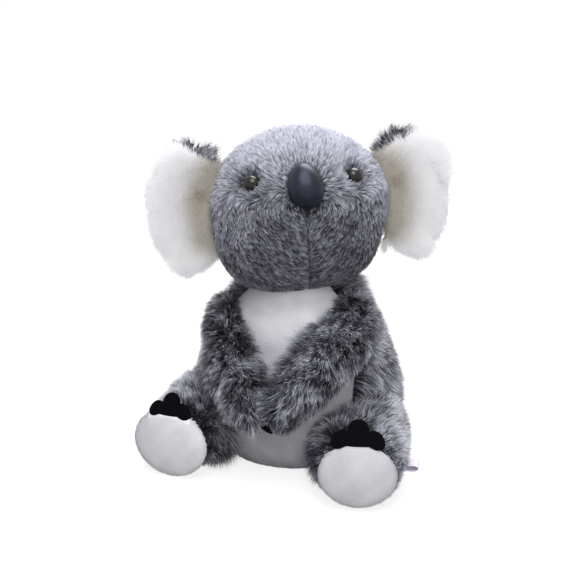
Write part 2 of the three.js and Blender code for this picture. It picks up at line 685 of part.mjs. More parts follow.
/** One leg with its sole, felt toes and, on the left one, the label. */
function addLeg(toy, sideName) {
  const side = SIDES[sideName];
  const frame = legFrame(sideName);
  const curve = new THREE.LineCurve3(vector(0, 0, THIGH_RISE / 2), vector(0, -LEG_LENGTH, 0));
  const girth = (along) => [
    LEG_HALF_WIDTH + thighSwell(along),
    LEG_HALF_HEIGHT + THIGH_RISE / 2 * (1 - along),
  ];
  const caps = [HEEL_CAP, TOE_CAP];
  const ground = new THREE.BoxGeometry(FAR, FAR, FAR).translate(0, 0, -FAR / 2);
  const form = (inset, columns) => {
    const geometry = limbForm(curve, girth, caps, inset, columns).applyMatrix4(frame);
    return solidOf(geometry).subtract(solidOf(ground));
  };
  const seam = LEG_LENGTH + TOE_CAP * Math.sqrt(1 - (SOLE_HALF_WIDTH / LEG_HALF_WIDTH) ** 2);
  const ahead = (from) => solidOf(
    new THREE.BoxGeometry(FAR, FAR, FAR).translate(0, -from - FAR / 2, 0).applyMatrix4(frame),
  );

  const hip = new THREE.Vector3().setFromMatrixPosition(frame);
  const pivot = vector(side * BELLY_RADIUS, hip.y + HEEL_CAP, hip.z);
  const leg = pivotGroup(toy, pivot, vector(0, 0, side));
  const clear = bodyForm(-SEAM_GAP, OUTER_COLUMNS, OUTER_ROWS);
  const cut = (solid) => clearOf(solid, clear, leg.userData, LEG_SWING);
  const shell = form(0, OUTER_COLUMNS).subtract(form(FABRIC, INNER_COLUMNS));
  const cover = cut(shell).subtract(ahead(seam - SEAM_GAP));
  const stuffing = cut(form(FABRIC + SEAM_GAP, INNER_COLUMNS));

  const soleTop = LEG_HALF_HEIGHT * SOLE_HALF_WIDTH / LEG_HALF_WIDTH;
  const claws = clawFelt(TOE_FELT_WIDTH, TOE_FELT_HEIGHT)
    .rotateX(Math.PI / 2 - radians(TOE_FELT_LEAN))
    .translate(0, -seam, soleTop - TOE_FELT_DROP)
    .applyMatrix4(frame);
  const outside = solidOf(limbForm(curve, girth, caps, -SEAM_GAP, OUTER_COLUMNS).applyMatrix4(frame));
  const toes = solidOf(claws).subtract(outside);
  addPiece(leg, `leg_cover_${sideName}`, cover, GREY_PILE);
  addPiece(leg, `leg_stuffing_${sideName}`, stuffing, STUFFING);
  addPiece(leg, `foot_pad_${sideName}`, shell.intersect(ahead(seam)), WHITE_PILE);
  addPiece(leg, `toe_claws_${sideName}`, toes, BLACK_FELT);
  if (sideName === "left") {
    addLabel(leg, frame, outside);
  }
}

/** The label, a loop of ribbon that stands out of the seam along a leg's outer side. */
function addLabel(leg, frame, outside) {
  const rise = LABEL_HEIGHT - LEG_HALF_HEIGHT + FLAT_DEPTH;
  const along = LABEL_PLACE / LEG_LENGTH;
  const girth = (LEG_HALF_WIDTH + thighSwell(along)) * Math.sqrt(1 - (rise / LEG_HALF_HEIGHT) ** 2);
  const outer = LABEL_RIBBON + LABEL_FOLD / 2;
  const inner = LABEL_FOLD / 2;
  const root = girth - LABEL_FOLD;
  const bend = girth + LABEL_REACH - outer;
  const fold = new THREE.Shape();
  fold.moveTo(root, -outer);
  fold.lineTo(bend, -outer);
  fold.absarc(bend, 0, outer, -Math.PI / 2, Math.PI / 2, false);
  fold.lineTo(root, outer);
  fold.lineTo(root, inner);
  fold.lineTo(bend, inner);
  fold.absarc(bend, 0, inner, Math.PI / 2, -Math.PI / 2, true);
  fold.lineTo(root, -inner);
  fold.closePath();
  const settings = { depth: LABEL_WIDTH, bevelEnabled: false, curveSegments: 4 };
  const ribbon = new THREE.ExtrudeGeometry(fold, settings)
    .rotateX(Math.PI / 2)
    .translate(0, LABEL_WIDTH / 2 - LABEL_PLACE, rise)
    .applyMatrix4(frame);
  addPiece(leg, "care_label", solidOf(ribbon).subtract(outside), LABEL_RIBBON_CLOTH);
}

const koala = new THREE.Group();
koala.userData = { pivot: ORIGIN, axis: UP };
addBody(koala);
addHead(koala);
for (const sideName of Object.keys(SIDES)) {
  addArm(koala, sideName);
  addLeg(koala, sideName);
}

export default koala;
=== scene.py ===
"""Looks of a sitting plush koala: stuffed skins, mesh pile, felt claws, moulded nose and eyes.

Sizes are millimetres in the toy's own frame: +Z is up, the koala faces -Y and its own left is +X.
"""
import json
import logging
import math
from dataclasses import dataclass, field, fields
from enum import Enum, IntEnum
from functools import cache
from typing import Callable

import bpy
import numpy as np
from bpy.types import ID, Material, Mesh, Node, NodeTree, Object, World, bpy_prop_collection
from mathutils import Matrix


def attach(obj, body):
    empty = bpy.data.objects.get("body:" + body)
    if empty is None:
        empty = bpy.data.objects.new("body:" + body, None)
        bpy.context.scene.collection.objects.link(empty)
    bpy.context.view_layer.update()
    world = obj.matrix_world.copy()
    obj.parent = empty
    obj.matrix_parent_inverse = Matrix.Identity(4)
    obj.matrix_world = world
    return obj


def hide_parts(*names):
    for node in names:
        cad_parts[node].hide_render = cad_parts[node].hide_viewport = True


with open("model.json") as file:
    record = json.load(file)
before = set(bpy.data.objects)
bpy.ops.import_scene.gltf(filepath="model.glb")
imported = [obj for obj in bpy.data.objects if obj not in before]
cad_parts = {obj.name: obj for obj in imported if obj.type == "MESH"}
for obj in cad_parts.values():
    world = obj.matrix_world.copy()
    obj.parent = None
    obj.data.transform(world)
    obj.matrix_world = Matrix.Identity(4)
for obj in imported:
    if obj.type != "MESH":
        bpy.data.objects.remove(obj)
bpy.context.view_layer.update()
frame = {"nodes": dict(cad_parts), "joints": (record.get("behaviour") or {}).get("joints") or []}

LOG = logging.getLogger("koala")
Array = np.ndarray
Span = tuple[float, float]
MM = 0.001
TINY = 1e-9
SEED = 4127
UP = np.array([0.0, 0.0, 1.0])
LEVEL = np.array([1, 1, 0])
# The lowest fabric stays this far over the floor.
FLOOR_GAP = 0.25
PILE_MAP = "PileUV"
# A second copy of the pile's map under this name, so that a bake keeps each strand's place on it.
BAKE_MAP = "OFBake"
# At three triangles to a strand, a piece of pile stays under 200,000 triangles.
STRANDS_IN_A_PIECE = 66000
STRAND_FACES = np.array([[0, 3, 1], [0, 2, 3], [2, 4, 3]])
# Weights that give each cell of a grid, by its three whole numbers, a key of its own.
CELL_KEY = np.array([1 << 40, 1 << 20, 1])


class Side(Enum):
    """The koala's own left and right, with the sign of X on that side."""

    LEFT = 1
    RIGHT = -1

    @property
    def word(self) -> str:
        """The side as it stands in the name of a node or piece."""
        return self.name.lower()


class Drift(IntEnum):
    """The irregular waves, each with its own place after the seed."""

    BAG = 0
    CELL = 0
    BODY = 5
    PANEL = 6
    HEAD = 7
    EAR_BACK = 8
    ARM = 9
    LEG = 10
    SOLE = 11
    EAR_CORNER = 12
    SEAM = 13
    SWIRL = 20


Sided = dict[Side, float]


def by_side(left: float, right: float) -> Sided:
    """A dataclass field that holds one value for the left and one for the right."""
    return field(default_factory=lambda: {Side.LEFT: left, Side.RIGHT: right})


# Arrays of points

def unit(vectors: Array) -> Array:
    """Rows of three numbers, each divided by its length."""
    return vectors / np.maximum(np.linalg.norm(vectors, axis=-1, keepdims=True), TINY)


def ramp(values: Array, low: float, high: float) -> Array:
    """A soft step: 0 before low, 1 after high, 3t2 - 2t3 between; a low above high turns it round."""
    t = np.clip((values - low) / (high - low), 0, 1)
    return t * t * (3 - 2 * t)


def bell(values: Array, width: float) -> Array:
    """A bell curve: e to the power of minus the square of values over width."""
    return np.exp(-((values / width) ** 2))


def full_turn(count: int) -> Array:
    """Evenly spaced angles once round, in radians, without the repeat of the first."""
    return np.linspace(0, 2 * math.pi, count, endpoint=False)


def tangential(vectors: Array, normals: Array) -> Array:
    """Unit directions in a surface: each vector less its part along the unit normal."""
    return unit(vectors - (vectors * normals).sum(axis=-1, keepdims=True) * normals)


def waves(points: Array, length: float, drift: int, count: int = 9) -> Array:
    """Smooth irregular waves: a sum of sines along random directions, scaled to about -1 to 1.

    Args:
        points: Places.
        length: Mean wavelength.
        drift: Their place after the seed.
        count: How many sines.
    Returns:
        One number for each point.
    """
    rng = np.random.default_rng(SEED + drift)
    ways = unit(rng.normal(size=(count, 3))) * (2 * math.pi / length)
    ways = ways * rng.uniform(0.6, 1.5, (count, 1))
    phases = rng.uniform(0, 2 * math.pi, count)
    return np.sin(points @ ways.T + phases).sum(axis=1) / math.sqrt(count)


def turned(points: Array, pivot: Array, axis: Array, degrees: float) -> Array:
    """Points turned about an axis through a pivot by the right-hand rule (Rodrigues' formula).

    Args:
        points: Places.
        pivot: A point of the axis.
        axis: Its unit direction.
        degrees: Angle.
    Returns:
        The turned points.
    """
    arm = points - pivot
    c, s = math.cos(math.radians(degrees)), math.sin(math.radians(degrees))
    return pivot + arm * c + np.cross(axis, arm) * s + (arm @ axis)[:, None] * axis * (1 - c)


def rotation_z(degrees: float) -> Array:
    """The matrix of a turn about Z."""
    c, s = math.cos(math.radians(degrees)), math.sin(math.radians(degrees))
    return np.array([[c, -s, 0], [s, c, 0], [0, 0, 1]])


def rotation_y(degrees: float) -> Array:
    """The matrix of a turn about Y."""
    c, s = math.cos(math.radians(degrees)), math.sin(math.radians(degrees))
    return np.array([[c, 0, s], [0, 1, 0], [-s, 0, c]])


def seat_axes(normal: Array) -> Array:
    """Axes of a seat as columns: across, up the surface, and out along its unit normal."""
    across = unit(np.cross(UP, normal))
    return np.stack([across, np.cross(normal, across), normal], axis=1)


def looking_at(target: Array, azimuth: float, elevation: float, distance: float) -> list:
    """The world matrix of a lamp or camera that looks at a target: X level and Z straight back.

    Args:
        target: Place it looks at.
        azimuth: Degrees from the koala's front to its left.
        elevation: Degrees above level.
        distance: How far off it is.
    Returns:
        The matrix, column by column.
    """
    a, e = math.radians(azimuth), math.radians(elevation)
    back = np.array([math.sin(a) * math.cos(e), -math.cos(a) * math.cos(e), math.sin(e)])
    right = np.array([math.cos(a), math.sin(a), 0])
    place = (target + back * distance) * MM
    matrix = np.eye(4)
    matrix[:3] = np.stack([right, np.cross(back, right), back, place], axis=1)
    return matrix.T.tolist()


class Placed:
    """What has its own frame: axes as columns, and an origin in the toy's frame."""

    axes: Array
    origin: Array

    def place(self, local: Array) -> Array:
        """Points of its own frame in the toy's."""
        return local @ self.axes.T + self.origin

    def local(self, points: Array) -> Array:
        """Points of the toy's frame in its own."""
        return (points - self.origin) @ self.axes


# Meshes

@dataclass
class Shape:
    """A closed surface: points in millimetres, four-cornered and three-cornered faces."""

    points: Array
    quads: Array
    triangles: Array

    def facing_out(self) -> "Shape":
        """Turns the faces round if the volume inside, a sum of triple products, is negative.

        Returns:
            The surface with its faces outwards.
        """
        halves = self.quads[:, [0, 1, 2]], self.quads[:, [0, 2, 3]]
        a, b, c = self.points[np.vstack([*halves, self.triangles])].transpose(1, 0, 2)
        if (a * np.cross(b, c)).sum() < 0:
            return Shape(self.points, self.quads[:, ::-1], self.triangles[:, ::-1])
        return self


def closed_shape(grid: Array) -> Shape:
    """A closed surface through rings of points.

    Args:
        grid: Points of shape (rings, columns, 3), each end ring being one pole.
    Returns:
        Quads between neighbouring rings and a fan at each pole.
    """
    rings, columns = grid.shape[:2]
    points = np.vstack([grid[:1, 0], grid[1:-1].reshape(-1, 3), grid[-1:, 0]])
    ring = 1 + np.arange((rings - 2) * columns).reshape(rings - 2, columns)
    after = np.roll(ring, -1, axis=1)
    quads = np.stack([ring[:-1], after[:-1], after[1:], ring[1:]], axis=-1).reshape(-1, 4)
    first = np.stack([np.zeros(columns, int), after[0], ring[0]], axis=-1)
    last = np.stack([np.full(columns, len(points) - 1), ring[-1], after[-1]], axis=-1)
    return Shape(points, quads, np.vstack([first, last])).facing_out()


def slab_shape(front: Array, back: Array) -> Shape:
    """A closed slab between two grids of the same size, joined along their borders.

    Args:
        front: Points of shape (rows, columns, 3).
        back: Points of the same shape.
    Returns:
        Both grids and the band between.
    """
    rows, columns = front.shape[:2]
    index = np.arange(rows * columns).reshape(rows, columns)
    corners = [index[:-1, :-1], index[:-1, 1:], index[1:, 1:], index[1:, :-1]]
    face = np.stack(corners, axis=-1).reshape(-1, 4)
    border = np.concatenate([index[0, :-1], index[:-1, -1], index[-1, :0:-1], index[:0:-1, 0]])
    after = np.roll(border, -1)
    behind = rows * columns
    band = np.stack([after, border, border + behind, after + behind], axis=-1)
    points = np.vstack([front.reshape(-1, 3), back.reshape(-1, 3)])
    quads = np.vstack([face, face[:, ::-1] + behind, band])
    return Shape(points, quads, np.zeros((0, 3), int)).facing_out()


def spun(radius: Array, height: Array, columns: int) -> Array:
    """Rings of points: a profile carried once round the Z axis.

    Args:
        radius: The profile's distances from the axis.
        height: Its heights.
        columns: Points of one ring.
    Returns:
        Points of shape (rings, columns, 3).
    """
    turn = full_turn(columns)
    ring = np.stack([np.cos(turn), np.sin(turn), 0 * turn], axis=1)
    return radius[:, None, None] * ring + height[:, None, None] * UP


def linked(name: str, data: ID) -> Object:
    """An object in the scene, at the origin.

    Args:
        name: Name of the object.
        data: Its mesh, camera or lamp.
    Returns:
        The object.
    """
    obj = bpy.data.objects.new(name, data)
    bpy.context.scene.collection.objects.link(obj)
    return obj


def shade_smooth(mesh: Mesh) -> None:
    """Lets the light run smoothly over all faces of a mesh."""
    mesh.polygons.foreach_set("use_smooth", np.ones(len(mesh.polygons), bool))


def mesh_object(name: str, shape: Shape) -> Object:
    """A smooth shaded object of a shape, with its place in its mesh.

    Args:
        name: Name of the object.
        shape: The surface in millimetres.
    Returns:
        The linked object.
    """
    mesh = bpy.data.meshes.new(name)
    faces = shape.quads.tolist() + shape.triangles.tolist()
    mesh.from_pydata((shape.points * MM).tolist(), [], faces)
    shade_smooth(mesh)
    return linked(name, mesh)


def numbers(rows: bpy_prop_collection, key: str, kind: type) -> Array:
    """Reads three numbers from each row of a mesh's collection.

    Args:
        rows: Such as the mesh's vertices.
        key: What is read of each.
        kind: Type of the numbers.
    Returns:
        An array with a row for each.
    """
    flat = np.empty(len(rows) * 3, kind)
    rows.foreach_get(key, flat)
    return flat.reshape(-1, 3)


def coordinates(mesh: Mesh) -> Array:
    """The mesh's vertices in millimetres."""
    return numbers(mesh.vertices, "co", np.float32).astype(float) / MM


def set_coordinates(mesh: Mesh, points: Array) -> None:
    """Puts vertices, in millimetres, into a mesh."""
    mesh.vertices.foreach_set("co", (points * MM).astype(np.float32).ravel())
    mesh.update()


def evaluated_mesh(obj: Object) -> Mesh:
    """A copy of an object's mesh with its modifiers applied."""
    depsgraph = bpy.context.evaluated_depsgraph_get()
    return bpy.data.meshes.new_from_object(obj.evaluated_get(depsgraph))


def discard(obj: Object) -> None:
    """Removes a helper object and its mesh.

    Args:
        obj: The helper.
    """
    mesh = obj.data
    bpy.data.objects.remove(obj)
    bpy.data.meshes.remove(mesh)


# Stuffed skins

@dataclass
class Skin:
    """A stuffed skin: its object, and its surface in millimetres for the pile to grow on."""

    obj: Object
    points: Array
    normals: Array
    triangles: Array

    @classmethod
    def of(cls, obj: Object) -> "Skin":
        """Reads the surface of a finished object.

        Args:
            obj: A mesh object with no modifiers.
        Returns:
            The skin.
        """
        mesh = obj.data
        mesh.calc_loop_triangles()
        triangles = numbers(mesh.loop_triangles, "vertices", np.int32)
        normals = numbers(mesh.vertex_normals, "vector", np.float32).astype(float)
        return cls(obj, coordinates(mesh), normals, triangles)

    def scatter(self, density: float, rng: np.random.Generator) -> tuple[Array, Array]:
        """Random places on the skin, even over its area.

        A triangle is picked by its share of the area, and a place in it by shares of its corners.

        Args:
            density: Places on a square millimetre.
            rng: Source of chance.
        Returns:
            The places and the normals there.
        """
        corner = self.points[self.triangles]
        edges = corner[:, 1] - corner[:, 0], corner[:, 2] - corner[:, 0]
        area = np.linalg.norm(np.cross(*edges), axis=1) / 2
        count = int(area.sum() * density)
        pick = np.searchsorted(np.cumsum(area), rng.random(count) * area.sum())
        pick = np.minimum(pick, len(area) - 1)
        a, b = np.sqrt(rng.random(count)), rng.random(count)
        share = np.stack([1 - a, a * (1 - b), a * b], axis=1)[:, :, None]
        places = (corner[pick] * share).sum(axis=1)
        return places, unit((self.normals[self.triangles[pick]] * share).sum(axis=1))


@dataclass(frozen=True)
class Stuffing:
    """Loose fibre fill that swells a sewn skin: a short cloth simulation under pressure."""

    voxel: float = 4.5
    pressure: float = 4.0
    frames: int = 20
    cap: float = 2.5

    def fill(self, name: str, shape: Shape, shaping: Callable[[Array], Array] | None = None) -> Skin:
        """Remeshes a closed form evenly, swells it, smooths it once and draws its seams in.

        Args:
            name: Name of the object.
            shape: The sewn form before it is stuffed.
            shaping: Moves the finished skin's points.
        Returns:
            The finished skin.
        """
        rough = mesh_object(name + "_rough", shape)
        remesh = rough.modifiers.new("even", "REMESH")
        remesh.mode = "VOXEL"
        remesh.voxel_size = self.voxel * MM
        cloth = linked(name + "_cloth", evaluated_mesh(rough))
        discard(rough)
        set_coordinates(cloth.data, self.swollen(cloth))
        smooth = cloth.modifiers.new("smooth", "SUBSURF")
        smooth.levels = smooth.render_levels = 1
        obj = linked(name, evaluated_mesh(cloth))
        discard(cloth)
        points = coordinates(obj.data)
        if shaping is not None:
            points = shaping(points)
        points[:, 2] = np.maximum(points[:, 2], FLOOR_GAP)
        set_coordinates(obj.data, points)
        shade_smooth(obj.data)
        return Skin.of(obj)

    def swollen(self, cloth: Object) -> Array:
        """Runs the cloth under pressure and limits how far each point moves.

        Args:
            cloth: An evenly meshed closed object.
        Returns:
            The moved points in millimetres.
        """
        start = coordinates(cloth.data)
        modifier = cloth.modifiers.new("stuffing", "CLOTH")
        modifier.settings.use_pressure = True
        modifier.settings.uniform_pressure_force = self.pressure
        modifier.settings.effector_weights.gravity = 0
        modifier.point_cache.frame_end = self.frames
        for step in range(1, self.frames + 1):
            bpy.context.scene.frame_set(step)
        depsgraph = bpy.context.evaluated_depsgraph_get()
        move = coordinates(cloth.evaluated_get(depsgraph).data) - start
        cloth.modifiers.remove(modifier)
        bpy.context.scene.frame_set(1)
        far = np.linalg.norm(move, axis=1, keepdims=True)
        return start + move * np.minimum(1, self.cap / np.maximum(far, TINY))


# Materials

def linear(code: str) -> tuple[float, float, float, float]:
    """The linear colour of an sRGB hex value.

    Args:
        code: Such as "#8a8a8f".
    Returns:
        Red, green, blue and an alpha of 1.
    """
    srgb = np.array([int(code[i:i + 2], 16) for i in (1, 3, 5)]) / 255
    red, green, blue = np.where(srgb <= 0.04045, srgb / 12.92, ((srgb + 0.055) / 1.055) ** 2.4)
    return float(red), float(green), float(blue), 1.0


def add_node(
    tree: NodeTree,
    kind: str,
    settings: dict | None = None,
    values: dict | None = None,
    links: dict | None = None,
    stops: tuple = (),
) -> Node:
    """Adds a node with its settings and links.

    Args:
        tree: The node tree.
        kind: Type of the node, without its first word.
        settings: Attributes of the node.
        values: Values of its inputs.
        links: Sockets that feed its inputs.
        stops: Places and colours of a colour ramp.
    Returns:
        The node.
    """
    node = tree.nodes.new("ShaderNode" + kind)
    for key, value in (settings or {}).items():
        setattr(node, key, value)
    for key, value in (values or {}).items():
        node.inputs[key].default_value = value
    for key, socket in (links or {}).items():
        tree.links.new(socket, node.inputs[key])
    if stops:
        elements = node.color_ramp.elements
        elements[0].position, elements[0].color = stops[0]
        elements[1].position, elements[1].color = stops[-1]
        for place, colour in stops[1:-1]:
            elements.new(place).color = colour
    return node


def bare_tree(owner: Material | World) -> NodeTree:
    """The emptied node tree of a material or world.

    Args:
        owner: The material or world.
    Returns:
        Its tree, without nodes.
    """
    owner.use_nodes = True
    owner.node_tree.nodes.clear()
    return owner.node_tree


def new_material(name: str, gloss: float) -> tuple[Material, NodeTree, Node]:
    """A material with a Principled shader on its output.

    Args:
        name: Name of the real material and how it was made.
        gloss: Specular level.
    Returns:
        The material, its node tree and the shader node.
    """
    material = bpy.data.materials.new(name)
    tree = bare_tree(material)
    shader = add_node(tree, "BsdfPrincipled", values={"Specular IOR Level": gloss})
    add_node(tree, "OutputMaterial", links={"Surface": shader.outputs["BSDF"]})
    return material, tree, shader


@dataclass(frozen=True)
class PileFinish:
    """Polyester pile, spun and frosted at the tips.

    The eye sees dark roots between strands and pale tips on them; the dark of the roots is
    partly the frosting and partly painted shade deep in the pile. Each of the two colourings
    goes from root over middle to tip. The map's first number is how light a strand is, which
    mixes the two, and the second runs from its root to its tip.
    """

    name: str
    dark: tuple[str, str, str]
    light: tuple[str, str, str]
    middle: float = 0.5
    tip: float = 0.85
    rough: Span = (0.85, 0.55)
    gloss: float = 0.25

    def make(self) -> Material:
        """Builds the material, with colour and roughness read along each strand.

        Returns:
            The material.
        """
        material, tree, shader = new_material(self.name, self.gloss)
        chart = add_node(tree, "UVMap", {"uv_map": PILE_MAP})
        parts = add_node(tree, "SeparateXYZ", links={"Vector": chart.outputs["UV"]})
        tone, along = parts.outputs["X"], parts.outputs["Y"]
        places = (0.0, self.middle, self.tip)
        dark, light = (
            add_node(tree, "ValToRGB", links={"Fac": along}, stops=tuple(zip(places, colours)))
            for colours in (map(linear, self.dark), map(linear, self.light))
        )
        mixed = {0: tone, 6: dark.outputs["Color"], 7: light.outputs["Color"]}
        colour = add_node(tree, "Mix", {"data_type": "RGBA"}, links=mixed)
        ends = {"To Min": self.rough[0], "To Max": self.rough[1]}
        rough = add_node(tree, "MapRange", values=ends, links={"Value": along})
        tree.links.new(colour.outputs[2], shader.inputs["Base Color"])
        tree.links.new(rough.outputs["Result"], shader.inputs["Roughness"])
        return material


@dataclass(frozen=True)
class SolidFinish:
    """A solid surface: a noise as coarse as its grain moves its colour, roughness and relief.

    The grain is millimetres, rough goes from the noise's lows to its highs, detail and harsh are
    the noise's own, and dent is the depth of the relief over the grain.
    """

    name: str
    colour: str
    shade: str
    grain: float
    rough: Span
    relief: float
    gloss: float = 0.5
    tint: str = "#ffffff"
    detail: float = 2.0
    harsh: float = 0.5
    dent: float = 0.1
    shade_at: Span = (0.3, 0.7)

    def make(self) -> Material:
        """Builds the material on Object coordinates.

        Returns:
            The material.
        """
        material, tree, shader = new_material(self.name, self.gloss)
        shader.inputs["Specular Tint"].default_value = linear(self.tint)
        place = add_node(tree, "TexCoord").outputs["Object"]
        size = {"Scale": 1 / (self.grain * MM), "Detail": self.detail, "Roughness": self.harsh}
        noise = add_node(tree, "TexNoise", values=size, links={"Vector": place}).outputs["Fac"]
        stops = tuple(zip(self.shade_at, (linear(self.shade), linear(self.colour))))
        colour = add_node(tree, "ValToRGB", links={"Fac": noise}, stops=stops)
        ends = {"To Min": self.rough[0], "To Max": self.rough[1]}
        rough = add_node(tree, "MapRange", values=ends, links={"Value": noise})
        depth = {"Strength": self.relief, "Distance": self.grain * MM * self.dent}
        bump = add_node(tree, "Bump", values=depth, links={"Height": noise})
        tree.links.new(colour.outputs["Color"], shader.inputs["Base Color"])
        tree.links.new(rough.outputs["Result"], shader.inputs["Roughness"])
        tree.links.new(bump.outputs["Normal"], shader.inputs["Normal"])
        return material


@dataclass(frozen=True)
class ClothFinish(SolidFinish):
    """Knitted, needled or woven cloth: a matt ground whose loops or fibres show as small dots."""

    rough: Span = (0.92, 0.8)
    relief: float = 0.3
    gloss: float = 0.2
    detail: float = 3.0
    harsh: float = 0.6
    dent: float = 0.5


@dataclass(frozen=True)
class PlasticFinish(SolidFinish):
    """Moulded plastic: an even colour under a skin that is a little wavy, as it left the mould."""


# Long polyester plush, frosted: near-black roots show between strands that end in pale grey.
GREY_FIBRE = PileFinish(
    "long plush pile, frosted grey",
    dark=("#0d0e12", "#191a20", "#474852"),
    light=("#3a3b45", "#8f909c", "#eeeff7"),
)
# The same plush shorn for the face: fewer roots show, so it looks finer and flecked with grey.
FACE_FIBRE = PileFinish(
    "short plush pile, frosted grey",
    dark=("#111216", "#1b1c21", "#3c3d44"),
    light=("#54555c", "#9fa0aa", "#e8e9f6"),
)
# Long white plush, brushed out, cool white at the tips. Its warm darker colouring is painted
# shade, laid in the ear's hollow beside the head.
EAR_FIBRE = PileFinish(
    "long plush pile, white",
    dark=("#8a8378", "#9d968b", "#b3ada4"),
    light=("#dcd9d5", "#e9e8e8", "#f4f4f7"),
)
# Short white velvet: an even nap with hardly a strand to be seen. Its darker colouring is
# painted shade, laid low on the belly most of all.
WHITE_FIBRE = PileFinish(
    "short velvet pile, white",
    dark=("#87878d", "#8e8e94", "#97979d"),
    light=("#d8d8dc", "#dedee1", "#e4e4e7"),
)
# Knitted backings: a matt ground that shows only where the pile parts, dotted by loops of about
# 0.8 mm, which are drawn 1.2 mm wide so that they show.
GREY_BACKING = ClothFinish("knitted backing, charcoal", "#33343b", "#1d1e23", grain=1.2)
WHITE_BACKING = ClothFinish("knitted backing, white", "#dcdce0", "#d0d0d5", grain=1.2)
# The ear's backing is darkened to cream as painted shade where its strands part, to match the painted
# shade of the ear's hollow.
EAR_BACKING = ClothFinish("knitted backing, cream", "#c4beb5", "#b2aca2", grain=1.2)
# Needled felt: flat black with no shine, roughened by clumps of fibre about 0.7 mm wide.
BLACK_FELT = ClothFinish(
    "needled felt, black", "#0b0b0e", "#040405", grain=0.7, gloss=0.04, relief=0.6
)
# Unbleached calico: warm off-white with darker threads, drawn about twice as wide as they are.
BAG_CLOTH = ClothFinish("calico, unbleached", "#e4dfd2", "#cfc8b8", grain=0.8)
# Woven satin: a pale ribbon, smoother than the pile, its threads drawn about twice as wide.
LABEL_RIBBON = ClothFinish(
    "woven satin ribbon, pale lilac", "#e2dce8", "#d2cad9", grain=0.5, rough=(0.6, 0.48)
)
# Moulded vinyl: a bluish charcoal with one broad, soft highlight that wavers a little; the
# blue tint of its reflections is painted, standing for the bluish light of the room.
NOSE_PLASTIC = PlasticFinish(
    "moulded vinyl, satin charcoal", "#11131b", "#0c0e14", grain=6.0, rough=(0.32, 0.38),
    relief=0.1, gloss=0.46, tint="#d4d9f4",
)
# Polished acrylic: black and wet-looking, with small sharp highlights.
EYE_PLASTIC = PlasticFinish(
    "polished acrylic, black", "#100d0c", "#060505", grain=3.0, rough=(0.05, 0.08),
    relief=0.02, gloss=0.45,
)
# Moulded nylon, undyed: milky and half matt.
WASHER_PLASTIC = PlasticFinish(
    "moulded nylon, natural", "#e6e5df", "#d8d6ce", grain=4.0, rough=(0.45, 0.55), relief=0.1
)


@cache
def made(finish: PileFinish | SolidFinish) -> Material:
    """The material of a finish, made once."""
    return finish.make()


def dress(
    obj: Object,
    finish: PileFinish | SolidFinish,
    body: str,
    slot: str,
    *nodes: str,
    fill: float | None = None,
) -> None:
    """Gives a piece its finish and body, hides the nodes it stands for, and reports it.

    Args:
        obj: The piece.
        finish: Its finish.
        body: The moving body it rides on.
        slot: The record's material slot; not used.
        nodes: Nodes of the frame that it replaces.
        fill: How tightly it is padded, if it is; not used.
    """
    obj.data.materials.clear()
    obj.data.materials.append(made(finish))
    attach(obj, body)
    if nodes:
        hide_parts(*nodes)
    LOG.info("%s: %d faces on %s", obj.name, len(obj.data.polygons), body)


# Pile

@dataclass(frozen=True)
class Mottle:
    """Lighter and darker patches of a pile: waves that swing about a mean tone."""

    mean: float
    swing: float
    patch: float
    drift: Drift

    def at(self, points: Array) -> Array:
        """The tone at places in millimetres."""
        return self.mean + self.swing * waves(points, self.patch, self.drift)


@dataclass
class Nap:
    """How a pile lies at each of its roots.

    keep says which strands are there at all, comb is the way they lean, tone is how light they are
    from 0 to 1, stretch is their length over the fabric's, lay adds degrees to their lean, and face
    is added to the skin's normals where a coat catches light as a flatter form does.
    """

    keep: Array
    comb: Array
    tone: Array | float
    stretch: Array | float = 1.0
    lay: Array | float = 0.0
    face: Array | float = 0.0

    def __post_init__(self) -> None:
        """Gives every root its own values."""
        count = len(self.keep)
        self.comb, self.face = (np.broadcast_to(way, (count, 3)) for way in (self.comb, self.face))
        single = (self.tone, self.stretch, self.lay)
        self.tone, self.stretch, self.lay = (np.broadcast_to(value, count) for value in single)

    def at(self, pick: Array) -> "Nap":
        """The nap at some of the roots."""
        return Nap(*(getattr(self, each.name)[pick] for each in fields(self)))


Lay = Callable[[Array, Array], Nap]


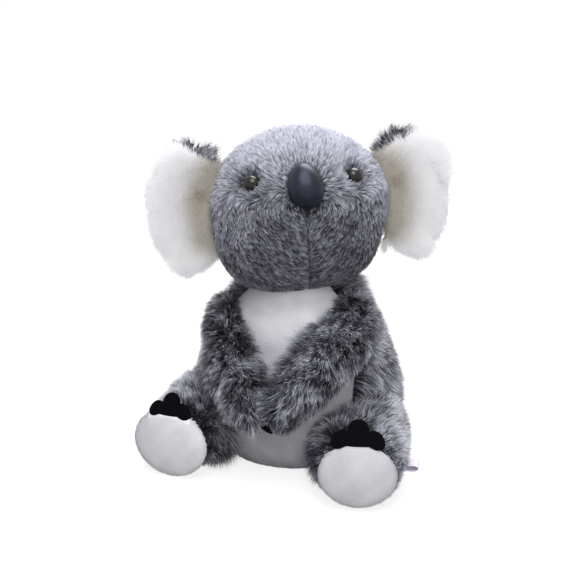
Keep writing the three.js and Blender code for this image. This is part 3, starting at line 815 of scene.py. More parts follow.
@dataclass(frozen=True)
class Pile:
    """A pile fabric: the size of its strands and how they stand.

    Lengths are millimetres, the density is strands on a square millimetre, and angles are degrees
    from upright. Strands of one tuft lean together, their way swirls from tuft to tuft, and strands
    of one fleck are about as light. A skew above 1 gives a few pale strands among dark ones, and
    below 1 a few dark ones among pale. A soft pile is shaded as one coat, by the skin's normals.
    """

    length: float
    width: float
    density: float
    lean: float
    droop: float
    tuft: float
    gather: float
    stray: float
    fleck: float
    fleck_tone: float
    strand_tone: float = 0.45
    uneven: float = 0.25
    knee: float = 0.6
    twist: float = 75.0
    soft: float = 0.0
    swirl: float = 0.0
    skew: float = 1.0
    lean_spread: float = 9.0
    knee_gather: float = 0.4
    knee_width: float = 0.8
    thickness: Span = (0.7, 1.3)
    tone_ends: Span = (0.02, 0.98)
    map_half: float = 0.008
    map_ends: Span = (0.01, 0.99)

    def strands(
        self, roots: Array, normals: Array, nap: Nap, rng: np.random.Generator
    ) -> tuple[Array, Array, Array]:
        """Tapered blades in two segments: root to knee along one lean, knee to tip along a greater.

        Each tip is drawn towards the mean tip of its tuft, a cell of a wavy grid one tuft wide.

        Args:
            roots: Where the strands are sewn in.
            normals: Normals there.
            nap: How the strands lie there.
            rng: Source of chance.
        Returns:
            Five corners for each strand, their places on the map of tone and length, and their
            normals.
        """
        count = len(roots)
        swirl = self.swirl * self.sway(roots, self.tuft, Drift.SWIRL)
        stray = self.stray * rng.normal(size=(count, 3))
        way = tangential(unit(nap.comb) + swirl + stray, normals)
        spread = self.lean_spread * rng.normal(size=(count, 1))
        lean = np.radians(self.lean + nap.lay[:, None] + spread)
        bent = lean + math.radians(self.droop)
        length = self.length * nap.stretch * (1 + self.uneven * rng.uniform(-1, 1, count))
        first = np.cos(lean) * normals + np.sin(lean) * way
        second = np.cos(bent) * normals + np.sin(bent) * way
        knee = roots + first * length[:, None] * self.knee
        tip = knee + second * length[:, None] * (1 - self.knee)
        cell = self.cells(roots, self.tuft)
        sums = np.stack([np.bincount(cell, tip[:, i]) for i in range(3)], axis=1)
        drawn = ((sums / np.bincount(cell)[:, None])[cell] - tip) * self.gather
        knee, tip = knee + drawn * self.knee_gather, tip + drawn
        across = unit(np.cross(normals, way))
        spin = np.radians(self.twist * rng.uniform(-1, 1, (count, 1)))
        half = self.width / 2 * rng.uniform(*self.thickness, (count, 1))
        reach = (across * np.cos(spin) + np.cross(first, across) * np.sin(spin)) * half
        toward = unit(normals + nap.face)
        away = (np.cross(first, reach) * toward).sum(axis=1, keepdims=True) < 0
        reach = reach * np.where(away, -1, 1)
        bend = reach * self.knee_width
        corners = np.stack([roots - reach, roots + reach, knee - bend, knee + bend, tip], axis=1)
        corners[:, :, 2] = np.maximum(corners[:, :, 2], FLOOR_GAP)
        tone = self.tones(roots, nap.tone, rng)[:, None]
        tone = tone + np.array([-1, 1, -1, 1, 0]) * self.map_half
        low, high = self.map_ends
        along = np.broadcast_to([low, low, self.knee, self.knee, high], tone.shape)
        face = unit(self.soft * toward + (1 - self.soft) * unit(np.cross(first, reach)))
        return corners, np.stack([tone, along], axis=-1), np.repeat(face[:, None], 5, axis=1)

    def tones(self, roots: Array, tone: Array, rng: np.random.Generator) -> Array:
        """How light each strand is: the nap's tone, and chances of its fleck and its own about it.

        Args:
            roots: Their roots.
            tone: The nap's tone there.
            rng: Source of chance.
        Returns:
            Tones between the two ends.
        """
        fleck = self.cells(roots, self.fleck)
        chance = self.fleck_tone * rng.random(fleck.max() + 1)[fleck] ** self.skew
        chance = chance + self.strand_tone * rng.random(len(roots)) ** self.skew
        mean = (self.fleck_tone + self.strand_tone) / (1 + self.skew)
        return np.clip(tone + chance - mean, *self.tone_ends)

    @staticmethod
    def sway(roots: Array, size: float, drift: Drift) -> Array:
        """Waves along X, Y and Z that are four cells of the given size long."""
        return np.stack([waves(roots, size * 4, drift + axis) for axis in range(3)], axis=1)

    @classmethod
    def cells(cls, roots: Array, size: float) -> Array:
        """The number of each root's cell in a wavy grid of cells of the given size."""
        corner = np.floor(roots / size + cls.sway(roots, size, Drift.CELL) * 0.6).astype(np.int64)
        return np.unique(corner @ CELL_KEY, return_inverse=True)[1]


def plant(name: str, corners: Array, chart: Array, facing: Array) -> list[Object]:
    """Makes pile pieces of strands, front to back, none with more than STRANDS_IN_A_PIECE strands.

    Args:
        name: Name of the pile.
        corners: Five corners for each strand, in millimetres.
        chart: Their places on the map of tone and length.
        facing: Their normals.
    Returns:
        The pile's objects.
    """
    order = np.argsort(corners[:, 0, 1])
    pieces = math.ceil(len(order) / STRANDS_IN_A_PIECE)
    objects = []
    for number, part in enumerate(np.array_split(order, pieces)):
        label = name if pieces == 1 else f"{name}_{number + 1}"
        count = len(part)
        index = (np.arange(count)[:, None, None] * 5 + STRAND_FACES).reshape(-1)
        mesh = bpy.data.meshes.new(label)
        mesh.vertices.add(count * 5)
        mesh.vertices.foreach_set("co", (corners[part] * MM).astype(np.float32).ravel())
        mesh.loops.add(len(index))
        mesh.loops.foreach_set("vertex_index", index.astype(np.int32))
        mesh.polygons.add(count * 3)
        mesh.polygons.foreach_set("loop_start", np.arange(0, len(index), 3, dtype=np.int32))
        shade_smooth(mesh)
        mesh.update(calc_edges=True)
        places = chart[part].reshape(-1, 2)[index].astype(np.float32).ravel()
        for layer in (PILE_MAP, BAKE_MAP):
            mesh.uv_layers.new(name=layer).data.foreach_set("uv", places)
        mesh.normals_split_custom_set_from_vertices(facing[part].reshape(-1, 3).tolist())
        objects.append(linked(label, mesh))
    return objects


# Real fibres are about 0.04 mm wide and a hundred to the square millimetre, too fine to show. Each
# strand here stands for a lock of them, and is as wide and as seldom as it needs to be to show.
LONG_PILE = Pile(
    length=11.0, width=0.32, density=3.4, lean=24.0, droop=26.0, tuft=4.6, gather=0.46, stray=0.5,
    fleck=3.6, fleck_tone=0.6, strand_tone=1.1, uneven=0.38, soft=0.3, swirl=0.5, skew=2.3,
)
FACE_PILE = Pile(
    length=10.0, width=0.27, density=3.8, lean=58.0, droop=12.0, tuft=2.2, gather=0.42, stray=0.16,
    fleck=1.0, fleck_tone=1.15, strand_tone=0.4, twist=50.0, swirl=0.15, skew=0.6,
)
EAR_PILE = Pile(
    length=13.0, width=0.3, density=9.0, lean=42.0, droop=30.0, tuft=7.0, gather=0.1, stray=0.3,
    fleck=6.0, fleck_tone=0.08, strand_tone=0.12, twist=25.0, soft=1.0, swirl=0.25,
)
VELVET_PILE = Pile(
    length=2.0, width=0.62, density=5.5, lean=60.0, droop=16.0, tuft=4.0, gather=0.0, stray=0.3,
    fleck=3.0, fleck_tone=0.03, strand_tone=0.07, twist=8.0, soft=1.0,
)


@dataclass(frozen=True)
class Fabric:
    """A pile fabric to sew with: its strands, their finish, its backing's and the record's slot."""

    pile: Pile
    fibre: PileFinish
    backing: ClothFinish
    slot: str
    shortest: float = 0.05

    def grow(self, name: str, skin: Skin, body: str, lay: Lay) -> None:
        """Grows the fabric's pile on a skin.

        Args:
            name: Name of the pile's pieces, which also seeds its chance.
            skin: What carries it.
            body: The moving body it rides on.
            lay: Gives the nap for places and normals of the skin.
        """
        rng = np.random.default_rng(SEED + sum(map(ord, name)))
        roots, normals = skin.scatter(self.pile.density, rng)
        nap = lay(roots, normals)
        pick = nap.keep & (nap.stretch > self.shortest)
        for obj in plant(name, *self.pile.strands(roots[pick], normals[pick], nap.at(pick), rng)):
            dress(obj, self.fibre, body, self.slot)

    def cover(self, skin: Skin, body: str, lay: Lay, fill: float, *nodes: str) -> None:
        """Dresses a skin and grows its pile, named pile where it is named skin."""
        dress(skin.obj, self.backing, body, self.slot, *nodes, fill=fill)
        self.grow(skin.obj.name.replace("skin", "pile"), skin, body, lay)


LONG_GREY = Fabric(LONG_PILE, GREY_FIBRE, GREY_BACKING, "grey_pile")
SHORT_GREY = Fabric(FACE_PILE, FACE_FIBRE, GREY_BACKING, "grey_pile")
LONG_WHITE = Fabric(EAR_PILE, EAR_FIBRE, EAR_BACKING, "ear_pile")
VELVET = Fabric(VELVET_PILE, WHITE_FIBRE, WHITE_BACKING, "white_pile")


# Body

@dataclass
class Torso:
    """The pear-shaped body, its white panel and the pellet bag in its seat."""

    seat_radius: float = 48.0
    belly_radius: float = 67.0
    belly_height: float = 40.0
    neck_height: float = 110.0
    neck_radius: float = 32.0
    neck_ledge: float = 6.0
    shoulder_power: float = 0.6
    panel_rise: float = 11.0
    panel_top_half: float = 30.0
    panel_wide_half: float = 50.0
    panel_wide_height: float = 56.0
    panel_bottom: float = 3.0
    panel_bottom_half: float = 16.0
    panel_skew: float = 3.0
    panel_skew_heights: Span = (85.0, 112.0)
    panel_wrap: float = 0.95
    panel_tuck: float = 10.0
    panel_sink: float = 3.2
    panel_crown: float = 2.0
    panel_back: float = 6.0
    panel_eased_from: float = 60.0
    pellet_radius: float = 38.0
    pellet_height: float = 24.0
    pellet_dent: float = 0.6
    pellet_spacing: float = 7.0
    bag_slack: float = 2.0
    bag_power: float = 0.6
    fabric: float = 3.5
    depth: float = 5.5
    sole: float = 1.5
    mottle: Mottle = Mottle(0.42, 0.24, 17.0, Drift.BODY)
    panel_mottle: Mottle = Mottle(0.08, 0.05, 18.0, Drift.PANEL)

    def radius(self, height: Array) -> Array:
        """Radius of the body at a height.

        It is a quarter ellipse below the belly, a power curve up to the neck, and a ball above it.

        Args:
            height: Heights.
        Returns:
            Radii.
        """
        ledge = self.neck_height + self.neck_ledge
        neck = math.sqrt(self.neck_radius**2 - self.neck_ledge**2)
        drop = np.clip((self.belly_height - height) / self.belly_height, 0, 1)
        low = self.seat_radius + (self.belly_radius - self.seat_radius) * np.sqrt(1 - drop**2)
        rise = np.clip((height - self.belly_height) / (ledge - self.belly_height), 0, 1)
        side = neck + (self.belly_radius - neck) * (1 - rise**2) ** self.shoulder_power
        dome = np.sqrt(np.maximum(0, self.neck_radius**2 - (height - self.neck_height) ** 2))
        return np.where(height < self.belly_height, low, np.where(height < ledge, side, dome))

    def panel_top(self) -> float:
        """Height of the panel's tucked upper edge."""
        return self.neck_height + self.panel_rise + self.panel_tuck

    def panel_half(self, height: Array) -> Array:
        """Half width of the panel at a height: two parabolas that meet where it is widest.

        Args:
            height: Heights.
        Returns:
            Half widths.
        """
        wide = self.panel_wide_height
        above = height > wide
        end = np.where(above, self.neck_height + self.panel_rise, self.panel_bottom)
        end_half = np.where(above, self.panel_top_half, self.panel_bottom_half)
        share = np.sqrt(np.clip((height - end) / (wide - end), 0, 1))
        return self.panel_wide_half - (self.panel_wide_half - end_half) * (1 - share) ** 2

    def panel_middle(self, height: Array) -> Array:
        """How far the panel's middle is sewn to the right at a height: a soft step at the neck."""
        return -self.panel_skew * ramp(height, *self.panel_skew_heights)

    def on_panel(self, points: Array, margin: Array) -> Array:
        """Which points lie on the panel.

        Args:
            points: Places.
            margin: Widths left out at its sides.
        Returns:
            True for those on it.
        """
        x, y, height = points.T
        inside = (height < self.panel_top()) & (y < 0)
        inside &= np.abs(x) < self.panel_wrap * np.hypot(x, y)
        return inside & (np.abs(x - self.panel_middle(height)) < self.panel_half(height) - margin)

    def clear(self, points: Array, margin: float) -> Array:
        """Pushes points out of the body, away from its axis.

        Args:
            points: Places.
            margin: Distance kept to its surface.
        Returns:
            The places, with none nearer than that.
        """
        height = points[:, 2]
        reach = np.hypot(points[:, 0], points[:, 1])
        over = height > self.neck_height + self.neck_radius
        need = np.where(over, 0, self.radius(height) + margin)
        grow = np.where(reach < need, need / np.maximum(reach, TINY), 1)
        return points * np.stack([grow, grow, np.ones_like(grow)], axis=1)

    def clear_swing(self, points: Array, joint: str, margin: float) -> Array:
        """Pushes a limb's points out of the body at rest and at both ends of its joint's range.

        Args:
            points: Places.
            joint: Name of the limb's joint.
            margin: Distance kept to its surface.
        Returns:
            The places at rest.
        """
        hinge = next(each for each in frame["joints"] if each["name"] == joint)
        pivot, axis = np.array(hinge["pos_m"]) / MM, unit(np.array(hinge["axis"]))
        for angle in (*hinge["range_deg"], 0):
            swung = self.clear(turned(points, pivot, axis, angle), margin)
            points = turned(swung, pivot, axis, -angle)
        return points

    def skin_shape(self) -> Shape:
        """The sewn body: its profile, closer low down, carried round the Z axis.

        Returns:
            The surface.
        """
        top = self.neck_height + self.neck_radius - self.depth
        height = self.sole + (top - self.sole) * np.linspace(0, 1, 40) ** 1.15
        radius = np.maximum(self.radius(height) - self.depth, 0)
        radius = np.concatenate([[0, radius[0] / 2], radius, [0]])
        height = np.concatenate([[self.sole, self.sole], height, [top]])
        return closed_shape(spun(radius, height, 72))

    def panel_layer(self, height: Array, across: Array, depth: Array) -> Array:
        """Points of the panel on the body's radius, which is averaged over 12 mm higher up.

        Args:
            height: Heights.
            across: Distances straight across from the middle.
            depth: Depths under the radius.
        Returns:
            The points.
        """
        eased = np.mean([self.radius(height + step) for step in (-6, -3, 0, 3, 6)], axis=0)
        radius = np.where(height > self.panel_eased_from, eased, self.radius(height))
        reach = np.maximum(radius - depth, 1)
        aside = np.clip(across, -self.panel_wrap * reach, self.panel_wrap * reach)
        return np.stack([aside, -np.sqrt(reach**2 - aside**2), height], axis=-1)

    def panel_shape(self) -> Shape:
        """The crowned panel: a grid over its outline, laid on the body and tucked under the chin.

        Its front rises from the edges to the middle by the square root of a parabola.

        Returns:
            The surface.
        """
        low, top = self.panel_bottom, self.panel_top()
        height = np.linspace(low, top, 64)[:, None]
        share = np.sin(np.linspace(-1, 1, 41) * math.pi / 2)[None, :]
        across = share * self.panel_half(height) + self.panel_middle(height)
        edge = np.minimum(1 - share**2, 4 * (height - low) * (top - height) / (top - low) ** 2)
        height = np.broadcast_to(height, across.shape)
        front = self.panel_sink - self.panel_crown * np.sqrt(np.clip(edge, 0, 1))
        back = np.full_like(across, self.panel_back)
        return slab_shape(*(self.panel_layer(height, across, depth) for depth in (front, back)))

    def bag_shape(self) -> Shape:
        """The pellet bag: a flattened ball, dented by the pellets in it.

        Returns:
            The surface.
        """
        rings, columns = 32, 64
        rise = np.linspace(-math.pi / 2, math.pi / 2, rings)
        reach = (self.pellet_radius - self.bag_slack) * np.cos(rise) ** self.bag_power
        high = (self.pellet_height / 2 - self.bag_slack) * np.sin(rise)
        grid = spun(reach, self.fabric + self.pellet_height / 2 + high, columns)
        dents = waves(grid[1:-1].reshape(-1, 3), self.pellet_spacing, Drift.BAG)
        grid[1:-1] += dents.reshape(rings - 2, columns, 1) * UP * self.pellet_dent
        return closed_shape(grid)

    def lay(self, points: Array, normals: Array) -> Nap:
        """Long pile, combed down, left out under panel and head, fuller at the neck and the hips.

        Args:
            points: Roots.
            normals: Normals there.
        Returns:
            The nap.
        """
        x, y, z = points.T
        neck = ramp(z, 98, 118) * ramp(y, 25, 0)
        shoulder = neck * ramp(x, 10, 35)
        hip = ramp(z, 80, 50) * ramp(y, -40, -10)
        underside = ramp(-normals[:, 2], 0.1, 0.8) * ramp(z, 25, 6)
        panel_edge = 4.0 * ramp(z, 88, 106)
        keep = ~self.on_panel(points, panel_edge) & (z < self.neck_height + 14)
        comb = np.array([0.0, 0.15, -1.0]) + unit(points * LEVEL) * 0.4
        stretch = 1.1 + 0.45 * neck + 0.4 * hip + 0.5 * shoulder - 0.9 * underside
        return Nap(keep, comb, self.mottle.at(points), stretch, -14 * neck)

    def lay_panel(self, points: Array, normals: Array) -> Nap:
        """Short pile over the panel's front, combed down, painted lighter from belly to chin."""
        # Painted shade and light: darker low on the belly, in the shade between legs and hands, and
        # lighter just under the chin, against its shadow.
        tone = self.panel_mottle.at(points) + 0.16 * ramp(points[:, 2], 35, 75)
        return Nap(-normals[:, 1] > -0.15, -UP, tone + 0.6 * ramp(points[:, 2], 88, 112))

    def build(self) -> None:
        """Makes and dresses the body, the panel and the pellet bag."""
        skin = Stuffing(cap=1.2).fill("body_skin", self.skin_shape())
        LONG_GREY.cover(skin, "torso", self.lay, 0.8, "body_cover", "body_stuffing")
        panel = Skin.of(mesh_object("chest_panel_skin", self.panel_shape()))
        VELVET.cover(panel, "torso", self.lay_panel, 0.6, "chest_panel")
        bag = mesh_object("pellet_bag_cloth", self.bag_shape())
        dress(bag, BAG_CLOTH, "torso", "pellet_cloth", "pellet_bag", fill=0.5)


# Head

@dataclass
class Head(Placed):
    """The head with its muzzle seam, eyes and nose, and the ball of stuffing in its neck."""

    torso: Torso
    half_width: float = 63.0
    half_depth: float = 55.0
    half_height: float = 56.0
    seat: float = 11.0
    aside: float = 3.0
    forward: float = 8.0
    turn: float = 24.0
    tip: float = 3.0
    jowl: float = 1.0
    jowl_depth: float = 0.7
    muzzle_rise: float = 5.0
    muzzle_spread: float = 32.0
    muzzle_elevation: float = -6.0
    nose_width: float = 23.0
    nose_height: float = 31.0
    nose_depth: float = 11.0
    nose_sink: float = 1.8
    nose_taper: float = 0.12
    nose_elevation: float = 27.5
    nose_roll: float = 6.0
    nose_powers: Span = (0.9, 0.95)
    eye_radius: float = 5.6
    eye_dome: float = 4.6
    eye_flange: float = 0.8
    eye_sink: float = 2.0
    eye_azimuth: float = 42.5
    eye_elevation: float = 28.0
    depth: float = 3.4
    neck_gap: float = 2.0
    seam_depth: float = 3.8
    seam_width: float = 3.5
    seam_wander: float = 1.3
    seam_wave: float = 30.0
    seam_top: Span = (26.0, 16.0)
    seam_foot: Span = (-62.0, -40.0)
    slack: float = 5.5
    slack_azimuth: float = 72.0
    slack_elevation: float = -38.0
    slack_spread: float = 32.0
    mottle: Mottle = Mottle(0.1, 0.06, 16.0, Drift.HEAD)

    def __post_init__(self) -> None:
        """Works out where the head stands and how it is turned."""
        height = self.torso.neck_height + self.seat + self.half_height
        self.origin = np.array([self.aside, -self.forward, height])
        self.axes = rotation_z(self.turn) @ rotation_y(-self.tip)

    def radius(self, way: Array) -> Array:
        """Distance from the head's centre to its surface.

        It is a superellipsoid that is squarer below, and a bell-shaped muzzle on it.

        Args:
            way: Unit directions in the head's own frame.
        Returns:
            Distances.
        """
        power = 2 + self.jowl * ramp(-way[..., 2], 0, self.jowl_depth)
        halves = np.array([self.half_width, self.half_depth, self.half_height])
        measure = (np.abs(way / halves) ** power[..., None]).sum(axis=-1)
        spread = math.radians(self.muzzle_spread)
        offside = np.arctan2(way[..., 0], -way[..., 1]) / spread
        rise = np.arcsin(np.clip(way[..., 2], -1, 1))
        offlevel = (rise - math.radians(self.muzzle_elevation)) / spread
        return measure ** (-1 / power) + self.muzzle_rise * np.exp(-(offside**2) - offlevel**2)

    def gap(self, points: Array) -> Array:
        """How far points of the toy's frame lie outside the head's surface."""
        local = self.local(points)
        return np.linalg.norm(local, axis=1) - self.radius(unit(local))

    @staticmethod
    def way(azimuth: Array, elevation: Array) -> Array:
        """Unit directions of the head's own frame at angles in degrees."""
        a, e = np.broadcast_arrays(np.radians(azimuth), np.radians(elevation))
        return np.stack([np.cos(e) * np.sin(a), -np.cos(e) * np.cos(a), np.sin(e)], axis=-1)

    def surface(self, azimuth: float, elevation: float) -> Array:
        """A point of the head's surface in its own frame."""
        way = self.way(azimuth, elevation)
        return way * self.radius(way)[..., None]

    def seat_at(self, azimuth: float, elevation: float) -> tuple[Array, Array]:
        """A seat on the head's surface, its normal being the cross product of two small steps.

        Args:
            azimuth: Degrees from straight ahead.
            elevation: Degrees above level.
        Returns:
            Its place in the toy's frame, and its axes there as columns.
        """
        step = 1.0
        point = self.surface(azimuth, elevation)
        across = self.surface(azimuth + step, elevation) - point
        rise = self.surface(azimuth, elevation + step) - point
        return self.place(point), self.axes @ seat_axes(unit(np.cross(across, rise)))

    def skin_shape(self) -> Shape:
        """The sewn head, pushed out to a ball round the dome of the neck where it lies inside.

        Returns:
            The surface.
        """
        rings, columns = 64, 96
        azimuth = np.linspace(0, 360, columns, endpoint=False)[None, :]
        way = self.way(azimuth, np.linspace(-90, 90, rings)[:, None])
        points = self.place((way * (self.radius(way) - self.depth)[..., None]).reshape(-1, 3))
        neck = UP * self.torso.neck_height
        arm = points - neck
        far = np.linalg.norm(arm, axis=1, keepdims=True)
        points = neck + arm * np.maximum(1, (self.torso.neck_radius + self.neck_gap) / far)
        return closed_shape(points.reshape(rings, columns, 3))

    def draw_in(self, points: Array) -> Array:
        """Draws the skin in along the muzzle seam and, by a bell curve, at the slack left jowl.

        Args:
            points: The skin's points.
        Returns:
            The moved points.
        """
        local = self.local(points)
        far = np.linalg.norm(local, axis=1)
        way = local / far[:, None]
        elevation = np.degrees(np.arcsin(np.clip(way[:, 2], -1, 1)))
        ends = ramp(elevation, *self.seam_top) * ramp(elevation, *self.seam_foot)
        slack = self.way(self.slack_azimuth, self.slack_elevation)
        off = np.degrees(np.arccos(np.clip(way @ slack, -1, 1)))
        pull = self.seam_depth * self.seam_bell(local) * ends
        pull = pull + self.slack * bell(off, self.slack_spread)
        return self.place(way * (far - pull)[:, None])

    def seam_bell(self, local: Array) -> Array:
        """How near points are to the muzzle seam: a bell curve across a line that wanders."""
        wander = self.seam_wander * waves(local * [0, 1, 1], self.seam_wave, Drift.SEAM)
        return bell(local[:, 0] - wander, self.seam_width) * (local[:, 1] < 0)

    def seated(self, grid: Array, azimuth: float, elevation: float) -> Shape:
        """A closed shape of rings, set on a seat of the head."""
        place, axes = self.seat_at(azimuth, elevation)
        return closed_shape(grid @ axes.T + place)

    def egg(self) -> Shape:
        """The nose: half an egg, wider at its foot, with a rounded rim and its back in the fabric.

        Across it is an ellipse whose width tapers with height, and outwards a quarter turn's sine.

        Returns:
            The surface.
        """
        turn = full_turn(64)[None, :]
        rise = np.linspace(0, math.pi / 2, 24)[:, None]
        reach, bulge = np.cos(rise) ** self.nose_powers[0], np.sin(rise) ** self.nose_powers[1]
        taper = 1 - self.nose_taper * np.sin(turn)
        wide = self.nose_width / 2 * reach * np.cos(turn) * taper
        tall = self.nose_height / 2 * reach * np.sin(turn)
        out = self.nose_depth * bulge - self.nose_sink + 0 * turn
        dome = np.stack([wide, tall, out], axis=-1) @ rotation_z(self.nose_roll).T
        back = dome[:1] * [0, 0, 1]
        return self.seated(np.concatenate([back, dome]), 0, self.nose_elevation)

    def eyeball(self, side: Side) -> Shape:
        """An eye: a flange and a dome, half an ellipse turned about the seat's normal.

        Args:
            side: The eye's side.
        Returns:
            The surface.
        """
        rise = np.linspace(0, math.pi / 2, 20)
        radius = np.concatenate([[0, self.eye_radius], self.eye_radius * np.cos(rise)])
        height = np.concatenate([[0, 0], self.eye_flange + self.eye_dome * np.sin(rise)])
        grid = spun(radius, height - self.eye_sink, 48)
        return self.seated(grid, side.value * self.eye_azimuth, self.eye_elevation)

    def wad_shape(self) -> Shape:
        """The neck's stuffing: a ball inside the fabric of head and body.

        Returns:
            The surface.
        """
        rise = np.linspace(-math.pi / 2, math.pi / 2, 24)
        radius = self.torso.neck_radius - self.torso.fabric - self.depth
        height = self.torso.neck_height + radius * np.sin(rise)
        return closed_shape(spun(radius * np.cos(rise), height, 48))

    def combed(self, local: Array, brow: Array, rear: Array) -> Array:
        """The comb where no eye parts it: back over the brow, in to the seam below, down behind.

        Args:
            local: Roots in the head's own frame.
            brow: How much each belongs to the brow.
            rear: How much each belongs to the back.
        Returns:
            Ways in that frame.
        """
        high = unit(local)[:, 2:]
        flank = np.sign(local[:, :1])
        inward = 1.3 * ramp(high, 0.35, 0.0) + 2.0 * ramp(-high, 0.0, 0.7)
        inward = inward * ramp(np.abs(local[:, :1]), 0.5, 6.0)
        over = unit(local - self.surface(0, self.nose_elevation)) + np.array([0, 0.5, 0.3])
        cheek = np.concatenate([-flank * inward, 0 * flank, -1 + 0 * flank], axis=1)
        behind = np.array([0, 0.2, -1])
        brow, rear = brow[:, None], rear[:, None]
        return over * brow + (cheek * (1 - rear) + behind * rear) * (1 - brow)

    def from_eye(self, side: Side, local: Array) -> tuple[Array, Array, Array, Array]:
        """How roots lie from an eye.

        Args:
            side: The eye's side.
            local: Roots in the head's own frame.
        Returns:
            Distances, unit ways from it, and how much each is under it and at its outer upper side.
        """
        eye = self.way(side.value * self.eye_azimuth, self.eye_elevation)
        arm = local - eye * np.linalg.norm(local, axis=1)[:, None]
        aim = unit(arm)
        out, high = side.value * aim[:, 0], aim[:, 2]
        under = ramp(-high - 0.5 * out, 0.1, 0.7)
        return np.linalg.norm(arm, axis=1), aim, under, ramp(out + 0.6 * high, -0.2, 0.6)

    def lay(self, points: Array, normals: Array) -> Nap:
        """Short pile, parted and shorn at the eyes, shorn round the nose and left out at the neck.

        Under each eye it is swept up and outwards over the rim. Its tone holds painted shade at the
        outer upper side of each eye, in the muzzle seam's crease and low on the face, and painted
        light over the brow, at the flanks and on the upper left side.

        Args:
            points: Roots.
            normals: Normals there.
        Returns:
            The nap.
        """
        local = self.local(points)
        way = unit(local)
        level, ahead = way[:, 2], local[:, 1] < 0
        brow, rear = ramp(level, 0.12, 0.65), ramp(local[:, 1], -5, 25)
        comb = self.combed(local, brow, rear)
        stretch, cover, painted_socket_shade, socket = 1.0, 0.0, 0.0, 0.0
        for side in Side:
            gap, aim, under, outer = self.from_eye(side, local)
            near = ramp(gap, 13, 6)
            away = aim + 0.5 * UP
            upward = np.array([side.value * 0.6, 0, 0.4]) - 0.6 * aim
            sweep = away + under[:, None] * (upward - away)
            comb = comb * (1 - near[:, None]) + sweep * near[:, None]
            shorn = 0.35 + 0.65 * ramp(gap, 5.5, 12)
            shorn = (shorn * (1 - under) + 0.85 * under) * (gap > self.eye_radius - 0.4)
            stretch = stretch * shorn
            cover = cover + near * under
            # Painted shade of the eye socket, at its outer upper side.
            painted_socket_shade = painted_socket_shade + ramp(gap, 12, 7) * outer
            socket = socket + 21 * under * ramp(gap, 18, 11)
        seat, axes = self.seat_at(0, self.nose_elevation)
        on_seat = (points - seat) @ axes / [self.nose_width / 2, self.nose_height / 2, 1]
        ring = np.hypot(on_seat[:, 0], on_seat[:, 1])
        nose = ahead * ramp(ring, 1.5, 1.1)
        neck = np.linalg.norm(points - UP * self.torso.neck_height, axis=1)
        keep = ~(ahead & (ring < 0.92)) & (neck > self.torso.neck_radius + 5)
        seam = self.seam_bell(local) * ramp(level, 0.35, 0.2)
        cheek = ramp(level, 0.5, 0.1) * (1 - rear) * (1 - cover)
        stretch = stretch * np.where(ahead, 0.55 + 0.45 * ramp(ring, 1.0, 1.6), 1)
        stretch = stretch * (1 - 0.5 * seam) * (1 - 0.2 * brow) * (1 - 0.32 * cheek)
        # Painted light: the face is painted lighter at its flanks as rim light, on its upper left
        # side where the lamps fall, and up over the brow where light falls from above; it is darker
        # low down.
        flank = ramp(np.abs(way[:, 0]), 0.45, 0.8) * ramp(level, -0.7, 0.0) * (1 - brow)
        lit = ramp(way[:, 0], 0.1, 0.6) * ramp(level, 0.0, 0.4)
        tone = self.mottle.at(points) + 0.08 * ramp(level, -0.5, 0.0)
        tone = tone + 0.82 * ramp(level, 0.1, 1.0) + 0.34 * flank + 0.14 * lit
        # Painted shade in the muzzle seam's crease and at the eye sockets.
        tone = tone - 0.26 * seam - 0.45 * painted_socket_shade
        flat = 12 * brow + 10 * ramp(level, -0.2, -0.6) - 18 * nose - socket
        return Nap(keep, comb @ self.axes.T, tone, stretch, flat)

    def build(self) -> None:
        """Makes and dresses the head, the nose, the eyes, their washers and the neck's stuffing."""
        skin = Stuffing(voxel=3.0, cap=0.6).fill("head_skin", self.skin_shape(), self.draw_in)
        SHORT_GREY.cover(skin, "head", self.lay, 0.9, "head_cover", "head_stuffing")
        dress(mesh_object("nose_cap", self.egg()), NOSE_PLASTIC, "head", "nose_plastic", "nose")
        for side in Side:
            eye = mesh_object(f"eye_ball_{side.word}", self.eyeball(side))
            dress(eye, EYE_PLASTIC, "head", "eye_plastic", f"eye_{side.word}")
        for name in ("nose_washer", "eye_washer_left", "eye_washer_right"):
            washer = frame["nodes"][name]
            washer.data.materials.clear()
            washer.data.materials.append(made(WASHER_PLASTIC))
        wad = mesh_object("neck_wad", self.wad_shape())
        dress(wad, BAG_CLOTH, "neck", "stuffing", "neck_stuffing", fill=0.7)


